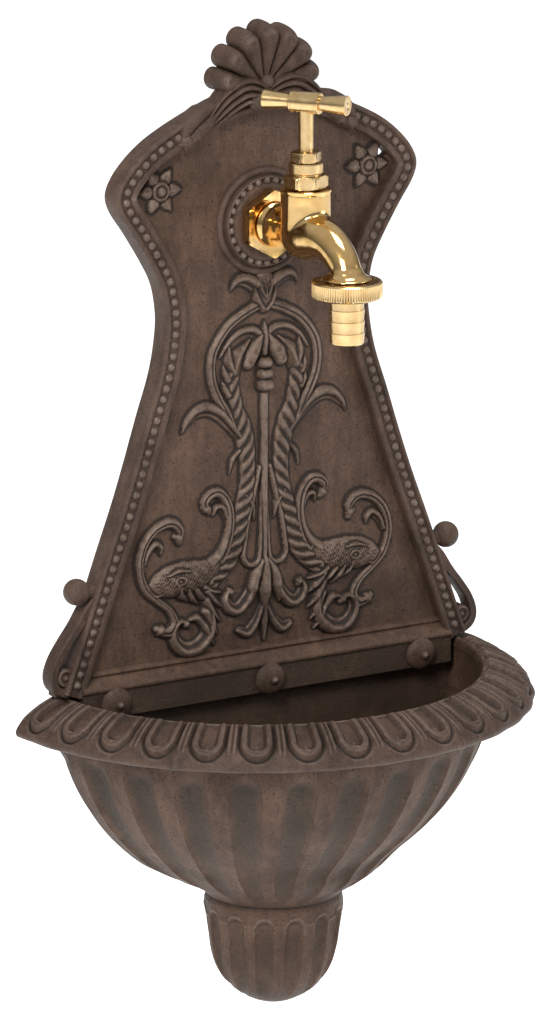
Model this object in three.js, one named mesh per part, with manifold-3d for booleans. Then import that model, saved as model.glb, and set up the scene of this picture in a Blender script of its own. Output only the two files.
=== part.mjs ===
// Wall fountain: a cast-iron back plate that stands on a half bowl, held by three bolts, and a brass tap.
// x runs across, y = 0 is the wall with -y away from it, z = 0 is the level of the basin's lip.
import * as THREE from 'three';
import { mergeVertices } from 'three/addons/utils/BufferGeometryUtils.js';
import Module from 'manifold-3d';

const wasm = await Module();
wasm.setup();

// Clearances and castings, in millimetres
const fitGap = 0.3;
const castWall = 5.5;

// Basin: rim, bowl and pendant
const lipRadius = 182.5;
const crestRadius = 150;
const crestHeight = 20;
const crestCrown = 0.4;
const rimThickness = 5;
const bowlRadius = 149;
const bowlDepth = 127;
const backWall = 6;
const pendantRadius = 46;
const pendantLength = 76;
const pendantForward = 20.6;
const eggCount = 17;
const eggRelief = 1.8;
const ribCount = 13;
const fluteDepth = 3;
const pendantRibs = 9;

// Back plate: outline, border and field
const plateHeight = 377;
const plateFootHalfWidth = 155;
const borderWidth = 15;
const borderDepth = 16;
const beadInset = 7;
const beadRadius = 2.8;
const fieldFront = 8.5;
const fieldBack = 3;
const stripEndGap = 1.2;
const stripDrop = 18;
const ledgeRise = 12;

// Back plate: ring boss, rosettes, screw holes and crest
const bossAboveFoot = 296;
const bossRadius = 35.6;
const bossFront = 15.2;
const rosetteOut = 78.5;
const rosetteAboveFoot = 324;
const rosetteRadius = 16;
const screwHoleRadius = 3.5;
const screwHoleOut = 90.7;
const screwHoleAboveFoot = 331.5;
const shellRadius = 43.5;
const shellLobes = 7;
const lobeAngle = 25.5;
const lobeFlat = 0.5;
const shellFront = 20;
const leafSpan = 67;

// Side volutes
const voluteBall = 8.7;
const voluteBallGap = 11.4;
const voluteBallAboveFoot = 68;
const voluteSwing = 19.5;
const voluteDepth = 14;
const strapThickness = 5.6;
const voluteEyeRadius = 6;

// Bolts
const boltSpacing = 117;
const boltAboveLip = 12.6;
const boltHeadRadius = 10.7;
const boltHeadRise = 9;
const boltShankRadius = 4;

// Tap
const tapForward = 60;
const inletRadius = 11.5;
const flangeAcross = 45.6;
const flangeThickness = 8;
const barrelRadius = 16.8;
const barrelBelow = 12.5;
const barrelAbove = 30.5;
const bonnetHexAcross = 28.6;
const bonnetHexRise = 9;
const collarRadius = 11.2;
const collarRise = 15.4;
const glandAcross = 20.4;
const glandRise = 5;
const spindleRadius = 4.9;
const spindleRise = 24.6;
const handleLength = 58;
const handleRadius = 6.8;
const handleSleeve = 7;
const handleTurn = 55;
const spoutRadius = 10.4;
const spoutReach = 49;
const spoutDrop = 20.5;
const unionRadius = 22.8;
const unionRise = 11;
const tailRadius = 11.5;
const tailLength = 30;
const tailBore = 8;

const degree = Math.PI / 180;
const plateFoot = crestHeight + crestCrown + fitGap;
const bossHeight = plateFoot + bossAboveFoot;
const ledgeTop = plateFoot + ledgeRise;
const neckLevel = -bowlDepth * 1.02;
const stripHalfWidth = Math.sqrt((bowlRadius - castWall) ** 2 - borderDepth ** 2) - stripEndGap;

// Colours of the iron and the brass
const iron = () => new THREE.MeshStandardMaterial({ color: 0x4a3229, roughness: 0.72, metalness: 0.35 });
const brass = () => new THREE.MeshStandardMaterial({ color: 0xd9a441, roughness: 0.22, metalness: 1 });
const brushedBrass = () => new THREE.MeshStandardMaterial({ color: 0xc9a35a, roughness: 0.38, metalness: 1 });

// A closed geometry as a solid for joining and cutting
function solid(geometry) {
  const plain = geometry.clone();
  plain.deleteAttribute('normal');
  plain.deleteAttribute('uv');
  const merged = mergeVertices(plain, 1e-4);
  return new wasm.Manifold(new wasm.Mesh({
    numProp: 3,
    vertProperties: new Float32Array(merged.attributes.position.array),
    triVerts: new Uint32Array(merged.index.array),
  }));
}

function join(parts) {
  return parts.reduce((whole, part) => whole.add(part));
}

// A solid as a named mesh
function piece(name, body, material) {
  const mesh = body.getMesh();
  const geometry = new THREE.BufferGeometry();
  geometry.setAttribute('position', new THREE.BufferAttribute(new Float32Array(mesh.vertProperties), 3));
  geometry.setIndex(new THREE.BufferAttribute(new Uint32Array(mesh.triVerts), 1));
  geometry.computeVertexNormals();
  const result = new THREE.Mesh(geometry, material);
  result.name = name;
  return result;
}

// A skin over rings of points, each ring closed on itself, with a flat cap at either end
function loft(rings) {
  const count = rings[0].length;
  const positions = rings.flat().flatMap((p) => [p.x, p.y, p.z]);
  const index = [];
  for (let i = 0; i + 1 < rings.length; i += 1) {
    for (let j = 0; j < count; j += 1) {
      const a = i * count + j;
      const b = i * count + ((j + 1) % count);
      index.push(a, b, a + count, b, b + count, a + count);
    }
  }
  const last = (rings.length - 1) * count;
  for (let j = 1; j + 1 < count; j += 1) {
    index.push(0, j + 1, j);
    index.push(last, last + j, last + j + 1);
  }
  let volume = 0;
  const corner = (k) => new THREE.Vector3().fromArray(positions, 3 * k);
  for (let k = 0; k < index.length; k += 3) {
    volume += corner(index[k]).dot(corner(index[k + 1]).cross(corner(index[k + 2])));
  }
  if (volume < 0) {
    index.reverse();
  }
  const geometry = new THREE.BufferGeometry();
  geometry.setAttribute('position', new THREE.Float32BufferAttribute(positions, 3));
  geometry.setIndex(index);
  return geometry;
}

// A value read along a short list of values, share 0 at its start and 1 at its end
function along(values, share) {
  const place = share * (values.length - 1);
  const low = Math.min(Math.floor(place), values.length - 2);
  return THREE.MathUtils.lerp(values[low], values[low + 1], place - low);
}

// An outline in the plane of the plate, extruded from one depth to another
function slab(points, back, front) {
  const shape = new THREE.Shape(points);
  const geometry = new THREE.ExtrudeGeometry(shape, { depth: front - back, bevelEnabled: false });
  return solid(geometry.rotateX(Math.PI / 2).translate(0, -back, 0));
}

// A solid turned about a line that runs away from the wall, with profile points of radius and depth
function turnedOutward(profile, x, z, sides) {
  const points = profile.map(([radius, depth]) => new THREE.Vector2(radius, -depth));
  const geometry = new THREE.LatheGeometry(points.reverse(), sides);
  return solid(geometry.translate(x, 0, z));
}

// A solid turned about an upright line, with profile points of radius and height
function turnedUpright(profile, x, y, sides) {
  const points = profile.map(([radius, height]) => new THREE.Vector2(radius, height));
  return solid(new THREE.LatheGeometry(points, sides).rotateX(Math.PI / 2).translate(x, y, 0));
}

// A box between two corners
function block(low, high) {
  const size = high.map((value, k) => value - low[k]);
  const middle = high.map((value, k) => (value + low[k]) / 2);
  return solid(new THREE.BoxGeometry(...size).translate(...middle));
}

// Outline of the plate, as shares of its half width at the foot and of its height
const outlineShares = [
  [1.04, -0.045], [0.818, 0.204], [0.717, 0.312], [0.654, 0.386], [0.592, 0.464], [0.528, 0.542],
  [0.499, 0.606], [0.497, 0.649], [0.52, 0.697], [0.574, 0.74], [0.65, 0.79], [0.713, 0.828],
  [0.734, 0.857], [0.709, 0.885], [0.65, 0.914], [0.566, 0.942], [0.47, 0.964], [0.357, 0.985],
  [0.2, 1.008], [0, 1.02],
];

function outline() {
  const half = outlineShares.map(([x, z]) => new THREE.Vector2(
    x * plateFootHalfWidth, plateFoot + z * plateHeight));
  const other = half.slice(0, -1).map((p) => new THREE.Vector2(-p.x, p.y)).reverse();
  return half.concat(other);
}

const edge = outline();

// Half width of the outline at a height above its foot
function halfWidthAt(height) {
  const level = plateFoot + height;
  const above = edge.findIndex((p) => p.y > level);
  const [low, high] = [edge[above - 1], edge[above]];
  return THREE.MathUtils.lerp(low.x, high.x, (level - low.y) / (high.y - low.y));
}

// The outline moved inwards by a distance
function inset(distance) {
  return edge.map((p, k) => {
    const before = edge[Math.max(k - 1, 0)];
    const after = edge[Math.min(k + 1, edge.length - 1)];
    const way = after.clone().sub(before).normalize();
    return new THREE.Vector2(p.x - way.y * distance, p.y + way.x * distance);
  });
}

// The border: an outer fillet, a groove, the row of beads as one ridge, a flat band and a hollow back
function border() {
  const fillet = 1.1;
  const groove = 1.4;
  const section = [
    [0, 0],
    [0, borderDepth - fillet],
    [fillet, borderDepth],
    [beadInset - beadRadius, borderDepth - groove],
    [beadInset, borderDepth - groove + beadRadius],
    [beadInset + beadRadius, borderDepth - groove],
    [beadInset + beadRadius + fillet, borderDepth],
    [borderWidth, borderDepth],
    [borderWidth, fieldBack],
    [borderWidth - castWall, borderDepth - castWall],
    [castWall, 0],
  ];
  const lines = section.map(([distance]) => inset(distance));
  const rings = edge.map((_, k) => section.map(([, depth], j) => new THREE.Vector3(
    lines[j][k].x, -depth, lines[j][k].y)));
  return solid(loft(rings));
}

// A carved band along a smooth line on the field
const reliefHeight = bossHeight - bossRadius - ledgeTop;
const carvingUnit = reliefHeight / 248.7;
const ridge = [[-1, 0], [0, 1], [1, 0]];
const flatTopped = [[-1, 0], [-0.55, 1], [0.55, 1], [1, 0]];
const narrow = 9.5;

function stroke([points, widths, heights], side) {
  const line = new THREE.CatmullRomCurve3(points.map(([x, z]) => new THREE.Vector3(
    side * x * carvingUnit, 0, ledgeTop + z * carvingUnit)), false, 'centripetal');
  const section = Math.max(...widths) < narrow ? ridge : flatTopped;
  const rings = points.map((_, k) => {
    const share = k / (points.length - 1);
    const centre = line.getPoint(share);
    const way = line.getTangent(share);
    const half = along(widths, share) * carvingUnit / 2;
    return section.map(([across, up]) => {
      const depth = fieldFront + up * along(heights, share);
      return new THREE.Vector3(centre.x + way.z * across * half, -depth, centre.z - way.x * across * half);
    });
  });
  return solid(loft(rings));
}

// Carving on each side: lines of [out from the middle, up from the ledge], with widths and heights
const sideCarving = [
  // Fin that sweeps round the fish's head and ends below in a ball leaf
  [[[65, 80.6], [65.5, 90], [77, 93], [89.5, 84.5], [95, 69], [90.4, 50.4], [76, 37], [69.5, 24], [79, 21.5]],
    [3, 6, 6.5, 6, 6, 6, 5, 8, 4], [3, 5, 5, 5, 5, 4, 3, 4.5, 3]],
  // Tail with its curled end
  [[[44.7, 97.9], [44.6, 106], [36.5, 108.6], [29, 101], [26.8, 86], [29.5, 73.5], [41, 59]],
    [3, 6, 7, 6.5, 7, 9, 14], [3, 5, 5, 5, 5, 5]],
  // Head and body of the fish
  [[[36, 62], [43, 57], [55, 54.5], [68, 54], [80, 52.5], [87.5, 52]],
    [10, 17, 22, 23, 18, 7], [5, 6, 7.5, 7.5, 6, 3]],
  // Pointed leaves under the head
  [[[63, 48], [57, 43], [51, 37]], [8, 7, 1.5], [6, 6, 3]],
  [[[53, 46], [47, 41], [42, 34]], [8, 7, 1.5], [6, 6, 3]],
  [[[45, 48], [38, 43], [31, 39]], [8, 6, 1.5], [6, 5.5, 3]],
  [[[46, 40], [42, 24], [35.5, 14]], [8, 7, 1.5], [5, 5, 3]],
  // Lowest spiral
  [[[41, 30], [42, 15.5], [51, 7], [63.5, 7], [69.4, 17.5], [59, 24]],
    [5, 8.5, 9, 7, 5.5, 2.5], [4, 5, 5, 4.5, 4.5, 3]],
  // Leafy stem that rises to the loop
  [[[22.5, 163.5], [16.5, 145], [12.8, 126], [13.8, 105], [18.5, 87], [23.5, 70], [40, 50]],
    [10, 15, 11, 12, 13, 13, 12], [3.5, 4.5, 4, 4.5, 5, 6, 6]],
  // Loop of the lyre, and the leaf head inside it
  [[[1.5, 230], [17, 224], [33, 212], [40.7, 194], [38, 175.5], [22, 151]], [6.5, 6.5], [3.4, 3.4]],
  [[[10.7, 207], [21.5, 202], [25, 191], [24.5, 177], [19.5, 156]], [1.5, 8, 10, 10, 9], [2, 4, 4, 4, 4]],
  // Hook leaf
  [[[17, 140], [26.7, 152], [38, 163], [51.5, 163.5], [62.5, 151.4]], [5, 7, 9, 7, 1.5], [4, 4, 4, 4, 2.5]],
  // Rim of the long tongue beside the rod
  [[[4, 121], [11.5, 92], [16.4, 64], [13, 57], [6.5, 57.2], [2.8, 72]], [3.2, 3.2], [3.2, 3.2]],
  // Bell flower and its side curl
  [[[2.5, 56], [8, 43], [11.5, 29.5]], [3, 8.5, 2], [4, 6, 4]],
  [[[4, 55], [14.5, 34], [21, 28.3], [28, 32], [26.3, 40.5]], [4, 7, 8, 6, 3], [4, 5, 5, 5, 3.5]],
  // Horn under the boss, and the bulb of the husk
  [[[3, 247.5], [16, 247.5], [25.8, 241.5]], [8, 6, 1.2], [4, 4, 2.5]],
  [[[3, 206], [8.5, 196], [8.5, 187]], [5, 12.5, 8], [4, 5.5, 4]],
];

// Carving on the middle line
const middleCarving = [
  [[[0, 251], [0, 228]], [18, 11], [3.5, 3.5]],
  [[[0, 210], [0, 192]], [6, 5], [4.5, 4]],
  [[[0, 194], [0, 190], [0, 186.5], [0, 183], [0, 179.5], [0, 175.5], [0, 171.5]],
    [7, 10.6, 9, 13.6, 10, 13, 7], [4, 6, 4, 6.5, 4, 7, 4]],
  [[[0, 172.5], [0, 58]], [6.2, 4], [3, 3]],
  [[[0, 58.5], [0, 40], [0, 26]], [3, 9.4, 2], [4, 6.5, 4]],
  [[[0, 29], [0, 18], [0, 6]], [4, 6, 1.8], [4, 4, 3]],
];

function carving() {
  const sides = [-1, 1].flatMap((side) => sideCarving.map((band) => stroke(band, side)));
  return join(middleCarving.map((band) => stroke(band, 1)).concat(sides));
}

// Ledge over the strip that is bolted to the basin, seen from the end as depth and height
function ledgeAndStrip() {
  const stripBack = backWall + fitGap;
  const upper = [
    [0, plateFoot], [0, ledgeTop + 1.5], [fieldFront, ledgeTop + 1.5], [fieldFront + 3, ledgeTop],
    [fieldFront + 3.2, ledgeTop - 1.6], [fieldFront + 2, ledgeTop - 2.6], [fieldFront + 3.4, ledgeTop - 3.2],
    [borderDepth, ledgeTop - 8.4], [borderDepth, plateFoot],
  ];
  const lower = [
    [stripBack, plateFoot - stripDrop], [stripBack, plateFoot + 1],
    [borderDepth, plateFoot + 1], [borderDepth, plateFoot - stripDrop],
  ];
  const barBetween = (profile, halfLength) => {
    const shape = new THREE.Shape(profile.map(([depth, height]) => new THREE.Vector2(-depth, height)));
    const bar = new THREE.ExtrudeGeometry(shape, { depth: 2 * halfLength, bevelEnabled: false });
    return solid(bar.applyMatrix4(new THREE.Matrix4().makeBasis(
      new THREE.Vector3(0, 1, 0), new THREE.Vector3(0, 0, 1), new THREE.Vector3(1, 0, 0)))
      .translate(-halfLength, 0, 0));
  };
  const upperHalf = plateFootHalfWidth - borderWidth + 1.5;
  return join([barBetween(upper, upperHalf), barBetween(lower, stripHalfWidth)]);
}

// Round boss that the tap passes through, with a pad that reaches the wall
function ringBoss() {
  const outer = bossRadius;
  const profile = [
    [0, 0], [inletRadius + castWall, 0], [inletRadius + castWall, fieldBack + 1],
    [outer, fieldBack + 1], [outer, fieldFront + 1.8], [outer - 2.5, fieldFront + 2.8],
    [outer - 5.4, fieldFront + 1.2], [outer - 6, fieldFront + 4], [outer - 7.8, bossFront],
    [outer - 10, fieldFront + 4.2], [outer - 11.6, bossFront], [0, bossFront],
  ];
  return turnedOutward(profile, 0, bossHeight, 20);
}

// Six-petalled rosette
function rosette(x) {
  const z = plateFoot + rosetteAboveFoot;
  const petals = [];
  for (let k = 0; k < 6; k += 1) {
    const petal = new THREE.ConeGeometry(1, 5.5, 4)
      .scale(rosetteRadius * 0.37, 1, rosetteRadius * 0.25)
      .rotateX(Math.PI)
      .translate(rosetteRadius * 0.63, -fieldFront - 1.2, 0)
      .rotateY(-(k * 60 + 30) * degree)
      .translate(x, 0, z);
    petals.push(solid(petal));
  }
  const middle = new THREE.SphereGeometry(rosetteRadius * 0.44, 7, 4)
    .scale(1, 0.85, 1).translate(x, -fieldFront, z);
  return join(petals.concat(solid(middle)));
}

// Shell of lobes that fan out from a hub, with a flat back on the wall
function shell() {
  const hub = plateFoot + plateHeight * 1.02 - 1;
  const reach = [0.12, 0.46, 0.84, 1];
  const bulge = [0.72, 0.83, 1, 0.76];
  const notch = [0.9, 0.74, 0.7, 0.8];
  const tip = [1, 1, 1, 0.87];
  const radial = (place, valley) => {
    const angle = (place - (shellLobes - 1) / 2) * lobeAngle * degree;
    const point = (j, depth) => {
      const out = reach[j] * shellRadius * (valley ? tip[j] : 1);
      return new THREE.Vector3(out * Math.sin(angle), -depth, hub + out * Math.cos(angle));
    };
    const front = reach.map((_, j) => point(j, shellFront * bulge[j] * (valley ? notch[j] : 1)));
    return [point(0, 0), ...front, point(reach.length - 1, 0)];
  };
  const rings = [radial(-0.5, true)];
  for (let k = 0; k < shellLobes; k += 1) {
    rings.push(radial(k - lobeFlat / 2, false), radial(k + lobeFlat / 2, false), radial(k + 0.5, true));
  }
  const knob = new THREE.SphereGeometry(5.2, 8, 5).translate(0, -borderDepth - 1, hub - 2);
  const base = block([-shellRadius * 0.34, -shellFront * 0.7, hub - 8], [shellRadius * 0.34, 0, hub + 8]);
  return join([solid(loft(rings)), base, solid(knob)]);
}

// Ridged leaf that drapes from the hub of the shell over the top of the border, as shares of its span
function drapedLeaf(side) {
  const top = plateFoot + plateHeight;
  const points = [[0.06, 0.03], [0.33, 0.015], [0.58, -0.075], [0.776, -0.216], [0.91, -0.343], [1, -0.455]];
  const widths = [0.224, 0.313, 0.373, 0.358, 0.254, 0.045];
  const line = new THREE.CatmullRomCurve3(points.map(([x, z]) => new THREE.Vector3(
    side * x * leafSpan, 0, top + z * leafSpan)));
  const stations = 6;
  const rings = [];
  for (let k = 0; k < stations; k += 1) {
    const share = k / (stations - 1);
    const centre = line.getPoint(share);
    const way = line.getTangent(share);
    const half = along(widths, share) * leafSpan / 2;
    const front = along([borderDepth + 2.6, borderDepth + 3.4, borderDepth + 3.2, borderDepth + 1.6], share);
    const section = [
      [-1, fieldFront - 2], [-0.8, front], [-0.4, front - 1.8], [0, front + 0.6],
      [0.4, front - 1.8], [0.8, front], [1, fieldFront - 2],
    ];
    rings.push(section.map(([across, depth]) => new THREE.Vector3(
      centre.x + way.z * across * half, -depth, centre.z - way.x * across * half)));
  }
  return solid(loft(rings));
}

// Side volute: a ball at the border, a flat strap that swings out and back, and its round eye
function volute(side) {
  const ballHeight = plateFoot + voluteBallAboveFoot;
  const ballOut = halfWidthAt(voluteBallAboveFoot) + voluteBallGap;
  const shares = [
    [-0.82, -0.074], [-0.41, -0.162], [0, -0.324], [0.436, -0.478], [0.82, -0.64], [1, -0.787], [0.897, -0.904],
    [0.462, -0.991],
  ];
  const points = shares.map(([x, z]) => new THREE.Vector3(
    side * (ballOut + x * voluteSwing), 0, ballHeight + z * voluteBallAboveFoot));
  const line = new THREE.CatmullRomCurve3(points);
  const stations = 9;
  const rings = [];
  for (let k = 0; k < stations; k += 1) {
    const share = k / (stations - 1);
    const centre = line.getPoint(share);
    const way = line.getTangent(share);
    const half = strapThickness / 2 * along([1.5, 1.3, 1, 1, 1, 0.9], share);
    const section = [[-1, 1.2], [-1, voluteDepth], [1, voluteDepth], [1, 1.2]];
    rings.push(section.map(([across, depth]) => new THREE.Vector3(
      centre.x + way.z * across * half, -depth, centre.z - way.x * across * half)));
  }
  const ball = new THREE.SphereGeometry(voluteBall, 10, 6)
    .translate(side * ballOut, -voluteBall, ballHeight);
  const neckStart = side * (ballOut - voluteBallGap - 4.6);
  const neck = block(
    [Math.min(neckStart, side * ballOut), -voluteBall - 3.5, ballHeight - 5],
    [Math.max(neckStart, side * ballOut), -voluteBall + 3.5, ballHeight + 4]);
  const eyeOut = side * (ballOut + voluteSwing * 0.54);
  const eyeHeight = plateFoot + voluteBallAboveFoot * 0.19;
  const eye = turnedOutward([[0, 1.2], [voluteEyeRadius, 1.2], [voluteEyeRadius, voluteDepth - 2],
    [0, voluteDepth + 0.6]], eyeOut, eyeHeight, 10);
  const web = block(
    [Math.min(eyeOut - side * 10, eyeOut + side * 8), -voluteDepth + 4, plateFoot + 0.6],
    [Math.max(eyeOut - side * 10, eyeOut + side * 8), -1.2, eyeHeight]);
  return join([solid(loft(rings)), solid(ball), neck, eye, web]);
}

// A round hole from the wall outwards
function wallHole(radius, x, z, sides) {
  const through = borderDepth + 8;
  return turnedOutward([[0, -1], [radius, -1], [radius, through], [0, through]], x, z, sides);
}

function backPlate() {
  const inside = borderWidth - castWall / 4;
  const field = slab(inset(inside), fieldBack, fieldFront);
  const outer = slab(edge, -1, borderDepth + 20);
  const rosettes = join([rosette(-rosetteOut), rosette(rosetteOut)]);
  const leaves = join([drapedLeaf(-1), drapedLeaf(1)]).intersect(outer);
  const reach = plateFootHalfWidth + 60;
  const aboveFoot = block([-reach, -lipRadius, plateFoot], [reach, 5, plateFoot + 2 * plateHeight]);
  const raised = join([border(), field, carving(), ringBoss(), rosettes, leaves, shell()]);
  const whole = join([raised, volute(-1), volute(1)]).intersect(aboveFoot).add(ledgeAndStrip());
  const holes = [-1, 1].map((side) => wallHole(
    screwHoleRadius, side * screwHoleOut, plateFoot + screwHoleAboveFoot, 10));
  const bore = wallHole(inletRadius + fitGap, 0, bossHeight, 18);
  const boltHoles = boltPlaces().map((x) => wallHole(boltShankRadius + fitGap, x, boltAboveLip, 10));
  return whole.subtract(join([bore].concat(holes, boltHoles)));
}

function boltPlaces() {
  return [-boltSpacing, 0, boltSpacing];
}

// Rows of the bowl from the rim down: radius, height and how far the round's middle stands off the wall
function bowlRows(shrink) {
  const rows = [
    [1, -0.128, 0], [0.974, -0.27, 0], [0.903, -0.446, 0], [0.803, -0.614, 0], [0.65, -0.778, 0.05],
    [0.505, -0.876, 0.62], [0.385, -0.945, 1], [0.29, -1.06, 1],
  ].map(([radius, height, forward]) => [
    bowlRadius * radius - shrink, bowlDepth * height, pendantForward * forward]);
  const pendant = [
    [1, 0], [0.93, 0.34], [0.846, 0.62], [0.685, 0.8],
    [0.48, 0.92], [0.14, 1],
  ].map(([radius, down]) => [pendantRadius * radius - shrink, neckLevel - pendantLength * down, pendantForward]);
  return { bowl: rows, pendant };
}

// A ring of points round the front of a row, closed along a line at the wall
function rowRing([radius, height, forward], shares, wallDepth, change) {
  const limit = Math.acos(THREE.MathUtils.clamp((wallDepth - forward) / radius, -1, 1));
  return shares.map((share) => {
    const angle = share * limit;
    const r = radius + (change ? change(angle) : 0);
    return new THREE.Vector3(r * Math.sin(angle), Math.min(-forward - r * Math.cos(angle), -wallDepth), height);
  });
}

function evenShares(count) {
  return Array.from({ length: count + 1 }, (_, k) => 2 * k / count - 1);
}

// Shares from -1 to 1 with the places where each repeat rises, stays and falls
function repeatShares(count, flat) {
  const shares = [-1];
  for (let k = 0; k < count; k += 1) {
    const middle = (2 * k + 1) / count - 1;
    shares.push(middle - flat / count, middle + flat / count);
    if (k + 1 < count) {
      shares.push((2 * k + 2) / count - 1);
    }
  }
  shares.push(1);
  return shares;
}

function isFlat(angle, limit, count, flat) {
  const place = ((angle / limit + 1) / 2 * count) % 1;
  return Math.abs(place - 0.5) < flat / 2 + 0.02;
}

// How far a row is cut back at an angle, between its ribs
function flute(depth, limit, count) {
  return (angle) => (isFlat(angle, limit, count, 0.5) ? 0 : -depth);
}

function basinOuter() {
  const { bowl, pendant } = bowlRows(0);
  const bowlShares = repeatShares(ribCount, 0.5);
  const upper = bowl.map((row, j) => {
    const depth = j > 0 ? fluteDepth * Math.min(1, row[0] / bowlRadius + 0.2) : 0;
    return rowRing(row, bowlShares, 0, flute(depth, Math.PI / 2, ribCount));
  });
  const top = upper[0].map((p) => new THREE.Vector3(p.x, p.y, crestHeight - rimThickness));
  const shares = repeatShares(pendantRibs, 0.5);
  const lower = pendant.map((row, j) => {
    const limit = Math.acos(Math.max(-row[2] / row[0], -1));
    const depth = j > 0 ? fluteDepth * 0.6 * row[0] / pendantRadius : 0;
    return rowRing(row, shares, 0, flute(depth, limit, pendantRibs));
  });
  return join([solid(loft([top, ...upper])), solid(loft(lower))]);
}

function basinInner() {
  const { bowl, pendant } = bowlRows(castWall);
  const mouth = crestRadius - 2;
  const wall = bowl.filter((_, k) => k % 2 === 0 || k === bowl.length - 1);
  const rows = [[mouth, crestHeight + 9, 0], [mouth, crestHeight - rimThickness, 0], ...wall];
  const bottom = pendant.filter((row) => row[0] > castWall);
  const well = [[bottom[0][0], bowl.at(-1)[1] + castWall, pendantForward], ...bottom];
  const sunk = (list, columns) => solid(loft(list.map((row) => rowRing(row, evenShares(columns), backWall))));
  return sunk(rows, 16).add(sunk(well, 10));
}

// Rim that rolls over from the crest to the lip, with a row of tongues
function basinRim() {
  const overhang = lipRadius - crestRadius;
  const section = [
    [crestRadius - 3.2, crestHeight - rimThickness - 3, 0],
    [crestRadius - 1, crestHeight + crestCrown, 0],
    [crestRadius + overhang * 0.45, crestHeight * 0.82, 1],
    [lipRadius - overhang * 0.13, crestHeight * 0.29, 0.9],
    [lipRadius, -1, 0],
    [lipRadius - 3, -4.6, 0],
    [crestRadius + overhang * 0.4, crestHeight * 0.75 - rimThickness - 1, 0],
  ];
  const shares = repeatShares(eggCount, 0.62);
  const rings = shares.map((share) => {
    const angle = share * Math.PI / 2;
    const raised = isFlat(angle, Math.PI / 2, eggCount, 0.62);
    return section.map(([radius, height, egg]) => {
      const lift = raised ? 0 : -eggRelief * egg;
      return new THREE.Vector3(
        (radius + lift * 0.5) * Math.sin(angle), -(radius + lift * 0.5) * Math.cos(angle), height + lift);
    });
  });
  return solid(loft(rings));
}

// The hollow casting from rim to pendant, between two levels
function casting(low, high) {
  const backTop = block([-crestRadius - 2, -backWall, 0], [crestRadius + 2, 0, crestHeight]);
  const shellBody = join([basinOuter(), basinRim()]).subtract(basinInner()).add(backTop);
  const boltHoles = boltPlaces().map((x) => wallHole(boltShankRadius + fitGap, x, boltAboveLip, 10));
  const reach = lipRadius + 10;
  return shellBody.subtract(join(boltHoles)).intersect(block([-reach, -reach, low], [reach, 1, high]));
}

function basin() {
  return casting(neckLevel + fitGap, crestHeight + 10);
}

function pendant() {
  return casting(neckLevel - pendantLength - 1, neckLevel);
}

// Domed bolt: its head lies on the strip and its shank goes through the strip and the basin's back wall
function bolt(x) {
  const seat = borderDepth + fitGap;
  return turnedOutward([
    [0, fitGap], [boltShankRadius, fitGap], [boltShankRadius, seat], [boltHeadRadius, seat],
    [boltHeadRadius * 0.94, seat + boltHeadRise * 0.4], [boltHeadRadius * 0.6, seat + boltHeadRise * 0.84],
    [0, seat + boltHeadRise],
  ], x, boltAboveLip, 11);
}

// Tap levels, from the middle of the inlet up
const barrelTop = bossHeight + barrelAbove;
const bonnetTop = barrelTop + bonnetHexRise;
const collarTop = bonnetTop + collarRise - glandRise - 2.4;
const glandTop = collarTop + 2 + glandRise;
const handleHeight = glandTop + spindleRise + handleSleeve;
const spoutForward = tapForward + spoutReach;
const unionTop = bossHeight - spoutDrop;
const unionFoot = unionTop - unionRise;
const neckRadius = unionRadius * 0.58;

// Six-sided wall flange with a hollow cone in its front
function tapFlange() {
  const back = bossFront + fitGap;
  const hexagon = new THREE.CylinderGeometry(flangeAcross / 2, flangeAcross / 2, flangeThickness, 6)
    .translate(0, -back - flangeThickness / 2, bossHeight);
  const dish = turnedOutward([
    [0, -1], [inletRadius + fitGap, -1], [inletRadius + fitGap, back + flangeThickness * 0.4],
    [flangeAcross * 0.36, back + flangeThickness + 0.01], [flangeAcross * 0.36, back + flangeThickness + 4],
    [0, back + flangeThickness + 4],
  ], 0, bossHeight, 18);
  return solid(hexagon).subtract(dish);
}

function tapBody() {
  const z = bossHeight;
  const inlet = turnedOutward([[0, fitGap], [inletRadius, fitGap], [inletRadius, tapForward], [0, tapForward]],
    0, z, 14);
  const foot = z - barrelBelow;
  const barrel = turnedUpright([
    [0, foot - 3], [barrelRadius * 0.6, foot - 2], [barrelRadius * 0.98, foot + 4],
    [barrelRadius * 0.98, barrelTop - 8], [barrelRadius, barrelTop - 6],
    [barrelRadius, barrelTop], [0, barrelTop],
  ], 0, -tapForward, 16);
  const route = new THREE.CatmullRomCurve3([
    [tapForward + 2, z + 6], [tapForward + 14, z + 7], [tapForward + 30, z + 3.5], [spoutForward - 8, z - 3],
    [spoutForward - 1.5, z - 9], [spoutForward, z - spoutDrop + 6],
  ].map(([depth, height]) => new THREE.Vector3(0, -depth, height)));
  const round = new THREE.Shape();
  round.absarc(0, 0, spoutRadius, 0, 2 * Math.PI, false);
  const spout = new THREE.ExtrudeGeometry(round, { steps: 8, curveSegments: 6, extrudePath: route });
  const neck = turnedUpright([
    [0, unionTop + 10], [spoutRadius + 0.6, unionTop + 10],
    [unionRadius * 0.78, unionTop + fitGap], [neckRadius, unionTop + fitGap], [neckRadius, unionTop - 5.5],
    [0, unionTop - 5.5],
  ].reverse(), 0, -spoutForward, 16);
  const bore = turnedUpright([
    [0, unionTop - 8], [tailBore, unionTop - 8], [tailBore, unionTop + 2], [0, unionTop + 6],
  ], 0, -spoutForward, 12);
  return join([inlet, barrel, solid(spout), neck]).subtract(bore);
}

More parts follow.
